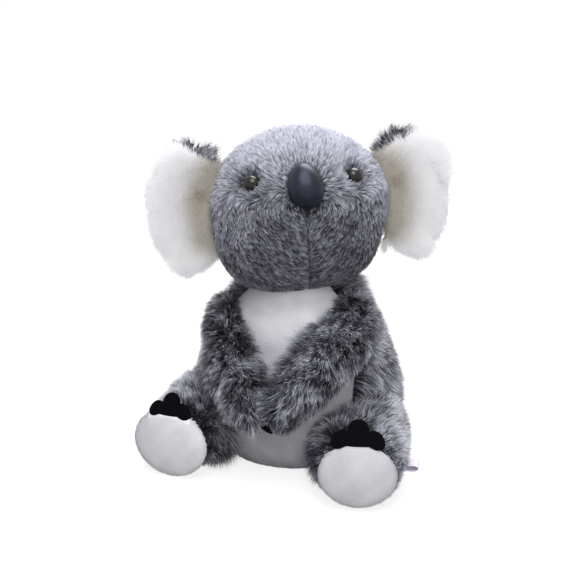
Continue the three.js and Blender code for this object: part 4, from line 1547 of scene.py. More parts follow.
@dataclass
class Ear:
    """One ear: a cupped white front with long pile and a grey back."""

    head: Head
    side: Side
    half_width: float = 30.0
    half_height: float = 47.5
    stand: float = 16.0
    behind: float = 5.0
    rise: float = 7.0
    cup: float = 7.0
    sweep: float = 18.0
    rim: float = 4.5
    square: float = 3.2
    outer_square: Sided = by_side(2.7, 2.1)
    hollow: float = 1.0
    hollow_spread: float = 0.55
    flesh: float = 5.0
    seam_gap: float = 0.4
    head_gap: float = 1.0
    settling: int = 8
    corner_mottle: Mottle = Mottle(0.2, 0.24, 10.0, Drift.EAR_CORNER)
    back_mottle: Mottle = Mottle(0.45, 0.14, 20.0, Drift.EAR_BACK)

    def __post_init__(self) -> None:
        """Works out the ear's root and turn on the head, its axes in the toy and its outline."""
        sign = self.side.value
        self.root = np.array([sign * self.head.half_width, self.behind, self.rise])
        self.turn = rotation_z(-sign * self.sweep)
        self.offset = np.array([sign * self.stand, 0, 0])
        self.axes = self.head.axes @ self.turn
        self.wide, self.tall = self.half_width - self.rim, self.half_height - self.rim

    def place(self, local: Array) -> Array:
        """Puts the ear beside the head, moving points out until none lies in the head.

        Args:
            local: Points of the ear's own frame, about its middle.
        Returns:
            The points in the toy's frame.
        """
        points = (local + self.offset) @ self.turn.T + self.root
        out = self.turn @ np.array([self.side.value, 0, 0])
        for _ in range(self.settling):
            far = np.linalg.norm(points, axis=1)
            surface = self.head.radius(points / far[:, None]) - self.head.depth
            points = points + np.maximum(surface + self.head_gap - far, 0)[:, None] * out
        return self.head.place(points)

    def local(self, points: Array) -> Array:
        """Points of the toy's frame in the ear's own, about its middle."""
        return (self.head.local(points) - self.root) @ self.turn - self.offset

    def half_shape(self, facing: int) -> Shape:
        """One half of the ear.

        It is a quarter ellipse from its middle to its rim and a flat face back, all cupped forward
        by the square of the reach. Its outline is an ellipse that is squarer beside the head.

        Args:
            facing: -1 for the front, 1 for the back.
        Returns:
            The closed half.
        """
        turn = full_turn(64)[None, :]
        angle = np.linspace(math.pi / 2, 0, 14)[:, None]
        inner = np.linspace(1, 0, 10)[1:, None]
        reach = np.concatenate([np.cos(angle), inner])
        thick = np.concatenate([self.flesh * np.sin(angle), 0 * inner])
        x, z = np.cos(turn), np.sin(turn)
        power = np.where(x < 0, self.square, self.outer_square[self.side])
        girth = reach * (np.abs(x) ** power + np.abs(z) ** power) ** (-1 / power)
        sink = self.hollow * bell(reach, self.hollow_spread) * (facing < 0) * (thick > 0)
        deep = facing * (self.seam_gap / 2 + thick) - self.cup * reach**2 + sink + 0 * turn
        across, height = self.side.value * self.wide * girth * x, self.tall * girth * z
        grid = np.stack([across, deep, height], axis=-1)
        return closed_shape(self.place(grid.reshape(-1, 3)).reshape(grid.shape))

    def outward(self, points: Array) -> tuple[Array, Array]:
        """How points lie on the ear.

        Args:
            points: Places.
        Returns:
            How far out they lie, as a share, and the ways outwards from the ear's hollow.
        """
        local = self.local(points)
        hollow = np.array([-self.side.value * 10.0, 0, 6.0])
        way = unit((local - hollow) * [1, 0.3, 1])
        return np.hypot(local[:, 0] / self.wide, local[:, 2] / self.tall), way @ self.axes.T

    def faces(self, normals: Array) -> Array:
        """How much normals look out of the ear's back: 1 straight back, -1 straight forward."""
        return normals @ self.axes[:, 1]

    def corner(self, points: Array) -> Array:
        """How much points belong to the upper inner corner, where the back is folded forward."""
        slant = self.local(points) @ [-0.7 * self.side.value, 0, 1]
        return ramp(slant, self.half_height - 14, self.half_height - 8)

    def hollow_tone(self, points: Array) -> Array:
        """How much points belong to the shaded hollow: a bell curve over their gap to the head."""
        gap = self.head.gap(points)
        return bell(gap, 15) * ramp(np.abs(self.local(points)[:, 2] - 2), 42, 20)

    def along_top(self, points: Array) -> tuple[Array, Array]:
        """The way along the ear's top edge: to the head beside it, and outwards farther off.

        Args:
            points: Places.
        Returns:
            The ways, and how close to the head the points lie, from 0 to 1.
        """
        sign = self.side.value
        close = ramp(sign * self.local(points)[:, 0], 0, -16)
        way = np.stack([sign * (1 - 2 * close), 0 * close, 0.5 + 0.3 * close], axis=1)
        return way @ self.axes.T, close

    def lay_front(self, points: Array, normals: Array) -> Nap:
        """Long white pile, combed out from the hollow to the rim, seen as one soft front.

        Args:
            points: Roots.
            normals: Normals there.
        Returns:
            The nap.
        """
        reach, way = self.outward(points)
        corner, behind = self.corner(points), self.faces(normals)
        keep = (behind < 0.85) & (corner < 0.5)
        # Painted shade: the front is painted darker in its hollow beside the head.
        tone = 0.98 - 1.2 * self.hollow_tone(points)
        stretch = 0.6 + 0.25 * ramp(reach, 0.3, 0.9)
        stretch = stretch * (1 - 0.5 * corner) * (1 - 0.6 * ramp(behind, 0.1, 0.6))
        return Nap(keep, way - UP * 0.15, tone, stretch, 0.0, -0.9 * self.axes[:, 1])

    def lay_corner(self, points: Array, normals: Array) -> Nap:
        """Grey pile folded over the front's upper inner corner.

        Args:
            points: Roots.
            normals: Normals there.
        Returns:
            The nap.
        """
        way, close = self.along_top(points)
        keep = (self.faces(normals) < 0.35) & (self.corner(points) >= 0.5)
        return Nap(keep, way, self.corner_mottle.at(points), 0.6 + 0.3 * close, 28)

    def lay_back(self, points: Array, normals: Array) -> Nap:
        """Grey pile on the back, combed out and down, longer behind the folded corner.

        Args:
            points: Roots.
            normals: Normals there.
        Returns:
            The nap.
        """
        reach, way = self.outward(points)
        corner = self.corner(points)
        along, close = self.along_top(points)
        down = np.array([self.side.value * 0.5, 0, -1]) @ self.axes.T
        way = (0.35 * way + down) * (1 - corner[:, None]) + along * corner[:, None]
        edge = ramp(reach, 0.7, 0.95) * (1 - corner)
        stretch = 0.55 + (0.1 + 0.25 * close) * corner - 0.3 * edge
        keep = (self.faces(normals) > 0.35) & ((reach < 0.9) | (corner > 0.4))
        return Nap(keep, way, self.back_mottle.at(points), stretch, 15 + 12 * corner)

    def build(self) -> None:
        """Makes and dresses both halves."""
        word = self.side.word
        body = f"ear_{word}"
        fibre = Stuffing(voxel=3.0, cap=1.2)
        front = fibre.fill(f"ear_front_skin_{word}", self.half_shape(-1))
        LONG_WHITE.cover(front, body, self.lay_front, 0.4, f"ear_front_{word}")
        LONG_GREY.grow(f"ear_corner_pile_{word}", front, body, self.lay_corner)
        back = fibre.fill(f"ear_back_skin_{word}", self.half_shape(1))
        LONG_GREY.cover(back, body, self.lay_back, 0.4, f"ear_back_{word}")


# Limbs

@dataclass
class Felt:
    """A felt piece with three rounded claws: the farthest reach of a pad and overlapping discs.

    The sizes of pad and discs are shares of the width and the height.
    """

    width: float
    height: float
    thick: float = 2.5
    lobe: float = 0.175
    main: float = 0.2
    lobe_rise: float = 0.33
    pad: Span = (0.34, 0.25)

    def grid(self) -> Array:
        """Rings from the middle of the back round the rim to the middle of the front.

        Each ring is the outline's reach from the middle, by a share that shrinks towards both ends.

        Returns:
            Points of shape (rings, columns, 3), the last number out of its plane.
        """
        lobe, main = self.width * self.lobe, self.width * self.main
        wide, rise = self.width / 2 - lobe, self.height * self.lobe_rise
        discs = [(0.0, self.height - main, main), (-wide, rise, lobe), (wide, rise, lobe)]
        middle = np.array([0.0, self.height * self.pad[1]])
        turn = full_turn(96)
        ray = np.stack([np.cos(turn), np.sin(turn)], axis=1)
        half = np.array([self.width, self.height]) * self.pad
        reach = 1 / np.hypot(ray[:, 0] / half[0], ray[:, 1] / half[1])
        for x, y, radius in discs:
            arm = np.array([x, y]) - middle
            ahead = ray @ arm
            inside = radius**2 - (arm @ arm - ahead**2)
            disc = np.where(inside > 0, ahead + np.sqrt(np.maximum(inside, 0)), 0)
            reach = np.maximum(reach, disc)
        rows = 6
        rim_share, rim_out = [0.97, 1.0, 1.0, 0.97], [0.06, 0.25, 0.75, 0.94]
        share = np.concatenate([np.linspace(0, 0.9, rows), rim_share, np.linspace(0.9, 0, rows)])
        out = np.concatenate([np.zeros(rows), rim_out, np.ones(rows)]) * self.thick
        flat = middle + share[:, None, None] * reach[None, :, None] * ray[None]
        deep = np.broadcast_to(out[:, None, None], (*flat.shape[:2], 1))
        return np.concatenate([flat, deep], axis=2)


def tube(path: Array, half: Array, caps: Span, columns: int = 48) -> Array:
    """Carries an ellipse along a path and closes both ends with half ellipsoids.

    Args:
        path: Points of the path, evenly spaced.
        half: Half width and half height of the ellipse at each point.
        caps: Lengths of the rounded ends.
        columns: Points of one ring.
    Returns:
        Points of shape (rings, columns, 3), the first and the last ring being poles.
    """
    rows, last = 8, len(path) - 1
    angle = np.linspace(math.pi / 2, 0, rows + 1)[:-1]
    start, end = -caps[0] * np.sin(angle), caps[1] * np.sin(angle[::-1])
    slide = np.concatenate([start, np.zeros(len(path)), end])
    scale = np.concatenate([np.cos(angle), np.ones(len(path)), np.cos(angle[::-1])])
    pick = np.concatenate([np.zeros(rows, int), np.arange(len(path)), np.full(rows, last)])
    ahead = unit(np.gradient(path, axis=0))[pick]
    centre = path[pick] + ahead * slide[:, None]
    across = unit(np.cross(ahead, UP))
    rise = np.cross(across, ahead)
    turn = full_turn(columns)[:, None]
    girth = half[pick] * scale[:, None]
    wide = across[:, None] * girth[:, None, :1] * np.cos(turn)
    tall = rise[:, None] * girth[:, None, 1:] * np.sin(turn)
    return centre[:, None] + wide + tall


@dataclass
class Arm:
    """One arm, from the shoulder over the elbow to the hand with its felt claws."""

    torso: Torso
    side: Side
    shoulder_radius: float = 18.5
    hand_radius: float = 15.0
    elbow_swell: float = 4.0
    hand_cap: float = 10.5
    hand_reach: Sided = by_side(4.0, 0.0)
    shoulder_height: float = 97.0
    shoulder_azimuth: Sided = by_side(70.0, 62.0)
    shoulder_sink: float = 7.0
    hand_height: float = 54.0
    hand_gap: float = 2.0
    forearm_height: float = 72.0
    elbow_azimuth: Sided = by_side(47.0, 40.0)
    elbow_lift: Sided = by_side(9.0, 2.0)
    forearm_azimuth: float = 28.0
    forearm_lift: Sided = by_side(15.0, 8.0)
    crossing: float = 8.0
    hitch: Sided = by_side(8.0, 3.0)
    hitch_end: Sided = by_side(0.85, 0.6)
    hitch_run: float = 0.45
    felt_width: float = 17.0
    felt_height: float = 10.0
    claw_sink: float = 0.8
    claw_lift: float = 1.5
    claw_curl: float = 0.04
    claw_core: float = 5.0
    bared: Sided = by_side(0.9, 0.2)
    dusk: Sided = by_side(0.2, 0.1)
    depth: float = 7.0
    body_gap: float = -1.0
    places: int = 36
    mottle: Mottle = Mottle(0.3, 0.28, 13.0, Drift.ARM)

    def beside(self, azimuth: float, height: float, lift: float) -> Array:
        """A place beside the body, at degrees from the front, a height and a lift off its surface."""
        reach, a = float(self.torso.radius(np.array(height))) + lift, math.radians(azimuth)
        return np.array([self.side.value * reach * math.sin(a), -reach * math.cos(a), height])

    def knots(self) -> Array:
        """The places that the arm's middle line goes through: shoulder, elbow, forearm and hand.

        Returns:
            Four points.
        """
        side, elbow = self.side, (self.shoulder_height + self.forearm_height) / 2
        reach = float(self.torso.radius(np.array(self.hand_height))) + self.hand_radius
        hand = math.degrees(math.asin((self.hand_radius + self.hand_gap / 2) / reach))
        return np.array([
            self.beside(self.shoulder_azimuth[side], self.shoulder_height, -self.shoulder_sink),
            self.beside(self.elbow_azimuth[side], elbow, self.elbow_lift[side]),
            self.beside(self.forearm_azimuth, self.forearm_height, self.forearm_lift[side]),
            self.beside(hand, self.hand_height, self.hand_radius),
        ])

    def path(self) -> Array:
        """The arm's middle line: a smooth curve through its knots, resampled evenly.

        It is a cubic between knots, its slopes from spacing them by the root of their distance.

        Returns:
            Points from shoulder to hand.
        """
        knots = self.knots()
        ends = np.vstack([2 * knots[0] - knots[1], knots, 2 * knots[-1] - knots[-2]])
        t = np.linspace(0, 1, 40)[:, None]
        spans = []
        for a, b, c, d in zip(ends, ends[1:], ends[2:], ends[3:]):
            r, s, u = (math.sqrt(np.linalg.norm(q - p)) for p, q in ((a, b), (b, c), (c, d)))
            leave = ((b - a) / r - (c - a) / (r + s) + (c - b) / s) * s
            arrive = ((c - b) / s - (d - b) / (s + u) + (d - c) / u) * s
            span = (2 * t**3 - 3 * t**2 + 1) * b + (3 * t**2 - 2 * t**3) * c
            spans.append(span + (t**3 - 2 * t**2 + t) * leave + (t**3 - t**2) * arrive)
        dense = np.vstack(spans)
        steps = np.linalg.norm(np.diff(dense, axis=0), axis=1)
        run = np.concatenate([[0], np.cumsum(steps)])
        even = np.linspace(0, run[-1], self.places)
        return np.stack([np.interp(even, run, dense[:, i]) for i in range(3)], axis=1)

    def bent_path(self) -> Array:
        """The middle line, drawn over the chest and hitched up at the shoulder by soft steps.

        Returns:
            Points from shoulder to hand.
        """
        path = self.path()
        along = np.linspace(0, 1, len(path))
        over = ramp(along, 0.0, 0.45) * (1 - 0.5 * ramp(along, 0.75, 1.0))
        end = self.hitch_end[self.side]
        lift = self.hitch[self.side] * ramp(along, end, end - self.hitch_run)
        aside = -self.side.value * self.crossing * over
        return path + np.stack([aside, 0 * along, lift], axis=1)

    def skin_shape(self) -> Shape:
        """The sewn arm, swollen at the elbow, pressed flat where it lies against the body.

        Returns:
            The surface.
        """
        along = np.linspace(0, 1, self.places)
        radius = self.shoulder_radius + (self.hand_radius - self.shoulder_radius) * along
        radius = radius + self.elbow_swell * np.sin(math.pi * along) - self.depth
        caps = (self.shoulder_radius - self.depth, self.hand_cap + self.hand_reach[self.side])
        grid = tube(self.bent_path(), np.stack([radius, radius], axis=1), caps)
        joint = f"arm_{self.side.word}_open"
        flat = self.torso.clear_swing(grid.reshape(-1, 3), joint, self.body_gap)
        return closed_shape(flat.reshape(grid.shape))

    def lay(self, points: Array, normals: Array) -> Nap:
        """Long pile that leans to the hand, shorter and paler above the seam along the left arm.

        Args:
            points: Roots.
            normals: Normals there.
        Returns:
            The nap.
        """
        path = self.bent_path()
        nearest = np.argmin(((points[:, None] - path[None]) ** 2).sum(axis=2), axis=1)
        ahead = unit(np.gradient(path, axis=0))
        rise = unit(np.cross(np.cross(ahead, UP), ahead))[nearest]
        level = points * LEVEL
        inside = np.linalg.norm(level, axis=1) < self.torso.radius(points[:, 2]) + 2
        against = inside & ((normals * unit(level)).sum(axis=1) < -0.2)
        middle = ramp(-self.side.value * normals[:, 0], 0.0, 0.7) * ramp(nearest, 2, 18)
        over = (normals * rise).sum(axis=1)
        seamed = ramp(nearest, 33, 26) * (self.side is Side.LEFT)
        top, crest = ramp(over, 0.7, 0.8) * seamed, bell(over - 0.6, 0.1) * seamed
        tip, axes = self.claw_seat(points)
        gap = np.linalg.norm(points - tip, axis=1)
        bare = ramp(gap, 16, 10) * ramp(normals @ axes[:, 2], 0.0, 0.5)
        stretch = (np.where(against, 0.45, 0.9) + 0.6 * middle) * (1 - 0.55 * top + 0.1 * crest)
        stretch = stretch * (1 - self.bared[self.side] * bare)
        tone = self.mottle.at(points) + 0.06 * top + 0.5 * crest
        # Painted shade: the forearm is painted darker towards the hand.
        tone = tone - self.dusk[self.side] * ramp(nearest, 10, 26)
        keep = np.ones(len(points), bool)
        return Nap(keep, ahead[nearest] - UP * 0.5, tone, stretch, 22 * top - 14 * crest)

    def claw_seat(self, points: Array) -> tuple[Array, Array]:
        """The seat of the claws: the farthest skin along the end of the arm's middle line.

        Args:
            points: Points of the arm's skin.
        Returns:
            The seat's place, a little under the skin, and its axes as columns.
        """
        path = self.path()
        ahead = unit(path[-1] - path[-2])
        wrist = self.bent_path()[-1]
        along = (points - wrist) @ ahead
        off = np.linalg.norm(points - wrist - along[:, None] * ahead, axis=1)
        far = along[off < self.claw_core].max() - self.claw_sink
        return wrist + ahead * far, seat_axes(ahead)

    def claw_shape(self, points: Array) -> Shape:
        """The claws, pointing down and curled back round the hand by the square of their reach.

        Args:
            points: Points of the arm's skin.
        Returns:
            The surface.
        """
        tip, axes = self.claw_seat(points)
        grid = Felt(self.felt_width, self.felt_height).grid() * [-1, -1, 1]
        grid = grid + [0, self.claw_lift, 0]
        grid[..., 2] -= self.claw_curl * (grid[..., :2] ** 2).sum(axis=-1)
        return closed_shape(grid @ axes.T + tip)

    def build(self) -> None:
        """Makes and dresses the arm and its claws."""
        word = self.side.word
        body = f"arm_{word}"
        skin = Stuffing(voxel=3.5, cap=1.5).fill(f"arm_skin_{word}", self.skin_shape())
        LONG_GREY.cover(skin, body, self.lay, 0.7, f"arm_cover_{word}", f"arm_stuffing_{word}")
        claws = mesh_object(f"hand_felt_{word}", self.claw_shape(skin.points))
        dress(claws, BLACK_FELT, body, "black_felt", f"hand_claws_{word}")


@dataclass
class Leg(Placed):
    """One leg, -Y from hip to sole, with its sole, felt toes and, on the left one, the label."""

    torso: Torso
    side: Side
    half_width: float = 30.0
    half_height: float = 26.0
    thigh_rise: float = 4.0
    length: float = 66.0
    thigh_swell: float = 2.0
    toe_cap: float = 12.0
    heel_cap: float = 24.0
    hip_inset: float = 10.0
    hip_forward: Sided = by_side(26.0, 12.0)
    splay: Sided = by_side(11.0, 6.0)
    flat: float = 0.8
    ground: float = 1.5
    settle: float = 4.0
    blunt: float = 2.5
    sole_half: float = 26.0
    sole_ease: Sided = by_side(-1.0, 0.8)
    sole_tuck: float = 1.5
    sole_inset: float = 0.8
    sole_drop: float = 0.6
    sole_ground: float = 1.0
    sole_power: float = 0.9
    felt_width: Sided = by_side(35.0, 31.0)
    felt_height: Sided = by_side(18.0, 16.5)
    felt_drop: Sided = by_side(3.0, 4.0)
    felt_lean: float = 32.0
    felt_proud: float = 0.5
    toe_arch: float = 0.012
    fringe: float = 0.72
    # Each leg's base tone; the right one is set higher as painted light, since the lamps fall more on
    # the left.
    pale: Sided = by_side(0.28, 0.46)
    inner_fur: Sided = by_side(0.45, 0.95)
    instep_trim: Sided = by_side(0.0, 0.3)
    # Each sole's tone; the right one is set higher as painted light, since the lamps fall more on the
    # left.
    sole_tone: Sided = by_side(0.58, 0.76)
    label_width: float = 11.0
    label_reach: float = 7.5
    label_open: float = 2.1
    label_height: float = 18.0
    label_place: float = 36.0
    label_sag: float = 0.4
    ribbon: float = 0.5
    depth: float = 7.5
    body_gap: float = -1.0
    mottle: Mottle = Mottle(0.0, 0.28, 15.0, Drift.LEG)
    sole_mottle: Mottle = Mottle(0.0, 0.05, 14.0, Drift.SOLE)

    def __post_init__(self) -> None:
        """Works out the hip's place, the leg's turn and where the sole is sewn on."""
        sign = self.side.value
        aside = sign * (self.torso.belly_radius - self.hip_inset)
        height = self.half_height - self.flat
        self.origin = np.array([aside, -self.hip_forward[self.side], height])
        self.axes = rotation_z(sign * self.splay[self.side])
        share = self.sole_half / self.half_width
        self.seam = self.length + self.toe_cap * math.sqrt(1 - share**2)
        self.sole_high = self.half_height * share

    def skin_shape(self) -> Shape:
        """The sewn leg, flat on the ground, blunt at the sole and pressed in at the body.

        Returns:
            The surface.
        """
        along = np.linspace(0, 1, 30)
        rise = self.thigh_rise / 2 * (1 - along)
        path = np.stack([0 * along, -self.length * along, rise], axis=1)
        wide = self.half_width + self.thigh_swell * np.sin(math.pi * along) - self.depth
        tall = self.half_height + rise - self.depth
        caps = (self.heel_cap - self.depth, self.toe_cap)
        grid = tube(path, np.stack([wide, tall], axis=1), caps)
        local = grid.reshape(-1, 3)
        local[:, 1] = np.maximum(local[:, 1], -self.seam + self.blunt)
        low = self.ground - self.origin[2]
        sink = self.settle * ramp(local[:, 2], 0, low)
        local[:, 2] = np.maximum(local[:, 2] - sink, low)
        joint = f"leg_{self.side.word}_splay"
        points = self.torso.clear_swing(self.place(local), joint, self.body_gap)
        return closed_shape(points.reshape(grid.shape))

    def sole_shape(self) -> Shape:
        """The crowned sole: an ellipse whose front swells out from the seam by a quarter sine.

        Returns:
            The surface.
        """
        rows = 8
        turn = full_turn(72)[None, :]
        angle = np.linspace(0, math.pi / 2, 22)[1:]
        share = np.concatenate([np.linspace(0, 1, rows), np.cos(angle)])[:, None]
        front = np.concatenate([np.zeros(rows), np.sin(angle)])[:, None]
        ease = self.sole_ease[self.side]
        crown = self.toe_cap + self.length - self.seam - self.sole_inset + self.sole_tuck
        across = (self.sole_half + ease) * share * np.cos(turn)
        rise = (self.sole_high + ease) * share * np.sin(turn) - self.sole_drop
        ahead = self.sole_tuck - self.seam - crown * front**self.sole_power + 0 * turn
        points = self.place(np.stack([across, ahead, rise], axis=-1))
        points[..., 2] = np.maximum(points[..., 2], self.sole_ground)
        return closed_shape(points)

    def toe_seat(self) -> tuple[Array, Array]:
        """The seat of the toes in the leg's own frame.

        Returns:
            Where their foot is sewn on, and the felt's axes as rows.
        """
        lean = math.radians(90 - self.felt_lean)
        up = [0, math.cos(lean), math.sin(lean)]
        out = [0, -math.sin(lean), math.cos(lean)]
        height = self.sole_high - self.felt_drop[self.side]
        return np.array([0, -self.seam - self.felt_proud, height]), np.array([[1, 0, 0], up, out])

    def toe_shape(self) -> Shape:
        """The felt toes, leaning back on the instep and arched by the square of their reach.

        Returns:
            The surface.
        """
        grid = Felt(self.felt_width[self.side], self.felt_height[self.side]).grid()
        foot, axes = self.toe_seat()
        points = grid @ axes + foot - self.toe_arch * grid[..., :1] ** 2 * UP
        return closed_shape(self.place(points))

    def label_loop(self) -> Array:
        """The middle line of the label's loop, from root to root.

        It goes out by the cosine of a quarter turn each way, up and down by the sine of a half turn.

        Returns:
            Points of the leg's own X and Z.
        """
        rise = self.label_height - self.origin[2]
        swell = self.thigh_swell * math.sin(math.pi * self.label_place / self.length)
        girth = (self.half_width + swell) * math.sqrt(1 - (rise / self.half_height) ** 2)
        span = np.linspace(-1, 1, 49)
        reach = self.label_reach + self.depth
        out = girth - self.depth + reach * np.cos(span * math.pi / 2)
        height = rise + self.label_open * np.sin(span * math.pi)
        return np.stack([self.side.value * out, height], axis=1)

    def label_layer(self, line: Array) -> Array:
        """One face of the label: a line carried across its width, sagging by a cosine across it.

        Args:
            line: Points of the leg's own X and Z.
        Returns:
            Its points in the toy's frame.
        """
        share = np.linspace(-0.5, 0.5, 15)[None, :]
        height = line[:, 1:] - self.label_sag * np.cos(share * math.pi)
        across = share * self.label_width - self.label_place
        return self.place(np.stack(np.broadcast_arrays(line[:, :1], across, height), axis=-1))

    def label_shape(self) -> Shape:
        """The label: its loop with the thickness of the ribbon, carried across its width.

        Returns:
            The surface.
        """
        loop = self.label_loop()
        along = unit(np.gradient(loop, axis=0))
        out = np.stack([along[:, 1], -along[:, 0]], axis=1) * self.ribbon / 2
        return slab_shape(self.label_layer(loop + out), self.label_layer(loop - out))

    def lay(self, points: Array, normals: Array) -> Nap:
        """Long pile, combed outwards and back, and inwards beside the belly.

        Round the sole it is combed forward as a fringe that leaves the toes bare.

        Args:
            points: Roots.
            normals: Normals there.
        Returns:
            The nap.
        """
        local, sign, side = self.local(points), self.side.value, self.side
        x, ahead, z = local[:, 0], -local[:, 1], local[:, 2]
        near = ramp(ahead, self.seam - 26, self.seam - 8)
        outer = sign * (normals @ self.axes[:, 0])
        inner = ramp(-outer, 0.2, 0.8)
        back, beside = np.array([sign * 0.8, 0.5, -0.1]), np.array([-sign * 0.3, -0.4, -0.6])
        comb = back * (1 - inner[:, None]) + beside * inner[:, None]
        comb = comb * (1 - near[:, None]) + np.array([0.0, -1.0, 0.0]) * near[:, None]
        face = np.hypot(x / self.sole_half, z / self.sole_high)
        keep = ~((ahead > self.seam - 4) & (face < 0.9) & (normals @ self.axes[:, 1] < -0.5))
        under = ramp(-normals[:, 2], 0.4, 0.9) * ramp(points[:, 2], 14, 4)
        high = ramp(normals @ unit(np.array([sign * 0.7, 0.2, 0.7])), 0.3, 0.9) * (1 - near)
        half = self.felt_width[side] / 2
        toes = ramp(np.abs(x), half + 4, half) * ramp(z, 5, 12)
        toes = toes * ramp(ahead, self.seam - 22, self.seam - 13)
        instep = ramp(ahead, 14, 40) * ramp(normals[:, 2], 0.2, 0.7)
        stretch = 0.95 + 0.25 * high + self.inner_fur[side] * inner * (1 - near)
        stretch = stretch * (1 - 0.6 * under) * (1 + (self.fringe - 1) * near) * (1 - 0.6 * toes)
        stretch = stretch * (1 - 0.2 * ramp(outer, 0.5, 1.0))
        stretch = stretch * (1 - 0.55 * inner * ramp(points[:, 2], 20, 6))
        stretch = stretch * (1 - self.instep_trim[side] * instep)
        # Painted light and shade: the outer side is painted lighter as rim light, and the inner side,
        # beside the belly, darker as painted shade.
        tone = self.pale[side] + self.mottle.at(points) + 0.5 * ramp(outer, 0.1, 0.9)
        tone = tone - 0.34 * ramp(-outer, -0.6, 0.4)
        return Nap(keep, comb @ self.axes.T, tone, stretch)

    def lay_sole(self, points: Array, normals: Array) -> Nap:
        """Short white pile over the sole's front, combed down, trimmed where the toes lie on it.

        Args:
            points: Roots.
            normals: Normals there.
        Returns:
            The nap.
        """
        foot, axes = self.toe_seat()
        local = self.local(points)
        across, up, out = ((local + self.toe_arch * local[:, :1] ** 2 * UP - foot) @ axes.T).T
        under = (np.abs(across) < self.felt_width[self.side] / 2) & (up > -0.5) & (out < 3.6)
        keep = (normals @ self.axes[:, 1] < 0.25) & ~under
        return Nap(keep, -UP, self.sole_tone[self.side] + self.sole_mottle.at(points))

    def build(self) -> None:
        """Makes and dresses the leg, the sole, the toes and the label."""
        word = self.side.word
        body = f"leg_{word}"
        skin = Stuffing(voxel=4.0, cap=1.5).fill(f"leg_skin_{word}", self.skin_shape())
        LONG_GREY.cover(skin, body, self.lay, 0.8, f"leg_cover_{word}", f"leg_stuffing_{word}")
        sole = Skin.of(mesh_object(f"foot_pad_skin_{word}", self.sole_shape()))
        VELVET.cover(sole, body, self.lay_sole, 0.9, f"foot_pad_{word}")
        toes = mesh_object(f"toe_felt_{word}", self.toe_shape())
        dress(toes, BLACK_FELT, body, "black_felt", f"toe_claws_{word}")
        if self.side is Side.LEFT:
            label = mesh_object("label_ribbon", self.label_shape())
            dress(label, LABEL_RIBBON, body, "label_ribbon", "care_label")


# Studio

@dataclass
class PhotoCamera:
    """The camera at the photograph's viewing angle."""

    azimuth: float = 18.0
    elevation: float = 17.0
    distance: float = 1000.0
    target: tuple[float, float, float] = (-6.7, -2.2, 116.0)
    focal_pixels: float = 1430.0
    image_pixels: float = 576.0
    sensor: float = 36.0

    def build(self) -> None:
        """Makes the camera and sets it as the scene's."""
        data = bpy.data.cameras.new("photo_camera")
        data.sensor_width = self.sensor
        data.lens = self.focal_pixels / self.image_pixels * self.sensor
        camera = linked("photo_camera", data)
        target = np.array(self.target)
        camera.matrix_world = looking_at(target, self.azimuth, self.elevation, self.distance)
        bpy.context.scene.camera = camera


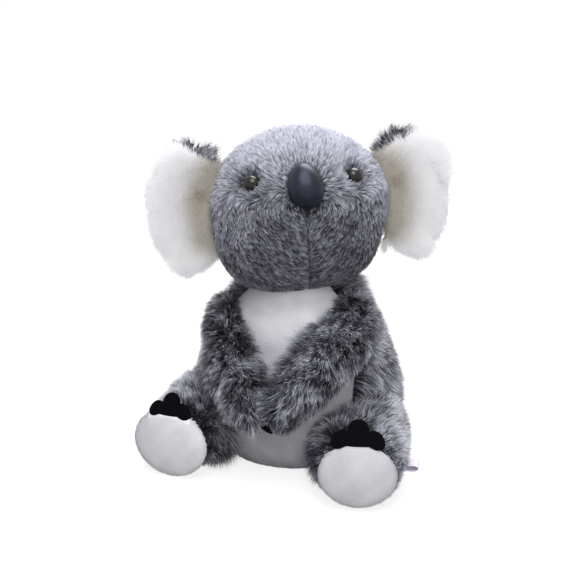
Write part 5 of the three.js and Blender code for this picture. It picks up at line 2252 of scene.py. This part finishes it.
@dataclass
class Studio:
    """A pale floor in a white room under a key from above, a rim from behind, a fill in front."""

    room: float = 0.42
    room_tint: str = "#f6f8ff"
    key_watts: float = 8.5
    rim_watts: float = 12.5
    fill_watts: float = 9.0
    key_angle: Span = (16.0, 64.0)
    rim_angle: Span = (180.0, 58.0)
    fill_angle: Span = (18.0, 17.0)
    lamp_size: float = 900.0
    lamp_distance: float = 1100.0
    lamp_aim: float = 110.0
    floor_size: float = 1800.0
    floor_paint: str = "#8c8c8c"
    floor_glow: float = 0.8

    def build(self) -> None:
        """Makes the world, the lamps and the floor."""
        bpy.context.scene.view_settings.view_transform = "Standard"
        self.world()
        self.lamp("key_light", self.key_angle, self.key_watts)
        self.lamp("rim_light", self.rim_angle, self.rim_watts)
        self.lamp("fill_light", self.fill_angle, self.fill_watts).visible_glossy = False
        self.floor()

    def world(self) -> None:
        """A room that lights the toy dimly but is white to the camera, in gloss and through it."""
        world = bpy.data.worlds.new("white_room")
        bpy.context.scene.world = world
        tree = bare_tree(world)
        rays = add_node(tree, "LightPath").outputs
        seen = rays["Is Camera Ray"]
        for ray in ("Is Transmission Ray", "Is Glossy Ray"):
            either = {"operation": "ADD", "use_clamp": True}
            seen = add_node(tree, "Math", either, links={0: seen, 1: rays[ray]}).outputs["Value"]
        dim = {"Color": linear(self.room_tint), "Strength": self.room}
        room = add_node(tree, "Background", values=dim).outputs["Background"]
        full = {"Color": (1, 1, 1, 1), "Strength": 1.0}
        white = add_node(tree, "Background", values=full).outputs["Background"]
        mix = add_node(tree, "MixShader", links={0: seen, 1: room, 2: white})
        add_node(tree, "OutputWorld", links={"Surface": mix.outputs["Shader"]})

    def lamp(self, name: str, angle: Span, watts: float) -> Object:
        """A large round lamp that looks at the toy.

        Args:
            name: Name of the lamp.
            angle: Its azimuth and elevation in degrees.
            watts: Its power.
        Returns:
            The lamp.
        """
        data = bpy.data.lights.new(name, "AREA")
        data.energy = watts
        data.shape = "DISK"
        data.size = self.lamp_size * MM
        lamp = linked(name, data)
        lamp.matrix_world = looking_at(UP * self.lamp_aim, *angle, self.lamp_distance)
        return lamp

    def floor(self) -> None:
        """A pale floor that looks white to the camera except in the toy's shadow."""
        half = self.floor_size / 2 * MM
        mesh = bpy.data.meshes.new("floor")
        corners = [(-half, -half, 0), (half, -half, 0), (half, half, 0), (-half, half, 0)]
        mesh.from_pydata(corners, [], [(0, 1, 2, 3)])
        material = bpy.data.materials.new("painted board, white")
        tree = bare_tree(material)
        rays = add_node(tree, "LightPath").outputs
        colour = {"Color": linear(self.floor_paint)}
        paint = add_node(tree, "BsdfDiffuse", values=colour).outputs["BSDF"]
        glow = add_node(tree, "Emission", values={"Strength": self.floor_glow}).outputs["Emission"]
        both = add_node(tree, "AddShader", links={0: paint, 1: glow}).outputs["Shader"]
        mix = add_node(tree, "MixShader", links={0: rays["Is Camera Ray"], 1: paint, 2: both})
        add_node(tree, "OutputMaterial", links={"Surface": mix.outputs["Shader"]})
        mesh.materials.append(material)
        linked("floor", mesh)


def write_sizes() -> None:
    """Brings the view layer up to date."""
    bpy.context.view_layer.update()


def main() -> None:
    """Builds the studio and the toy, piece by piece."""
    logging.basicConfig(level=logging.INFO, format="%(name)s: %(message)s")
    PhotoCamera().build()
    Studio().build()
    torso = Torso()
    head = Head(torso)
    torso.build()
    head.build()
    for side in Side:
        Ear(head, side).build()
        Arm(torso, side).build()
        Leg(torso, side).build()
    write_sizes()


if __name__ == "__main__":
    main()
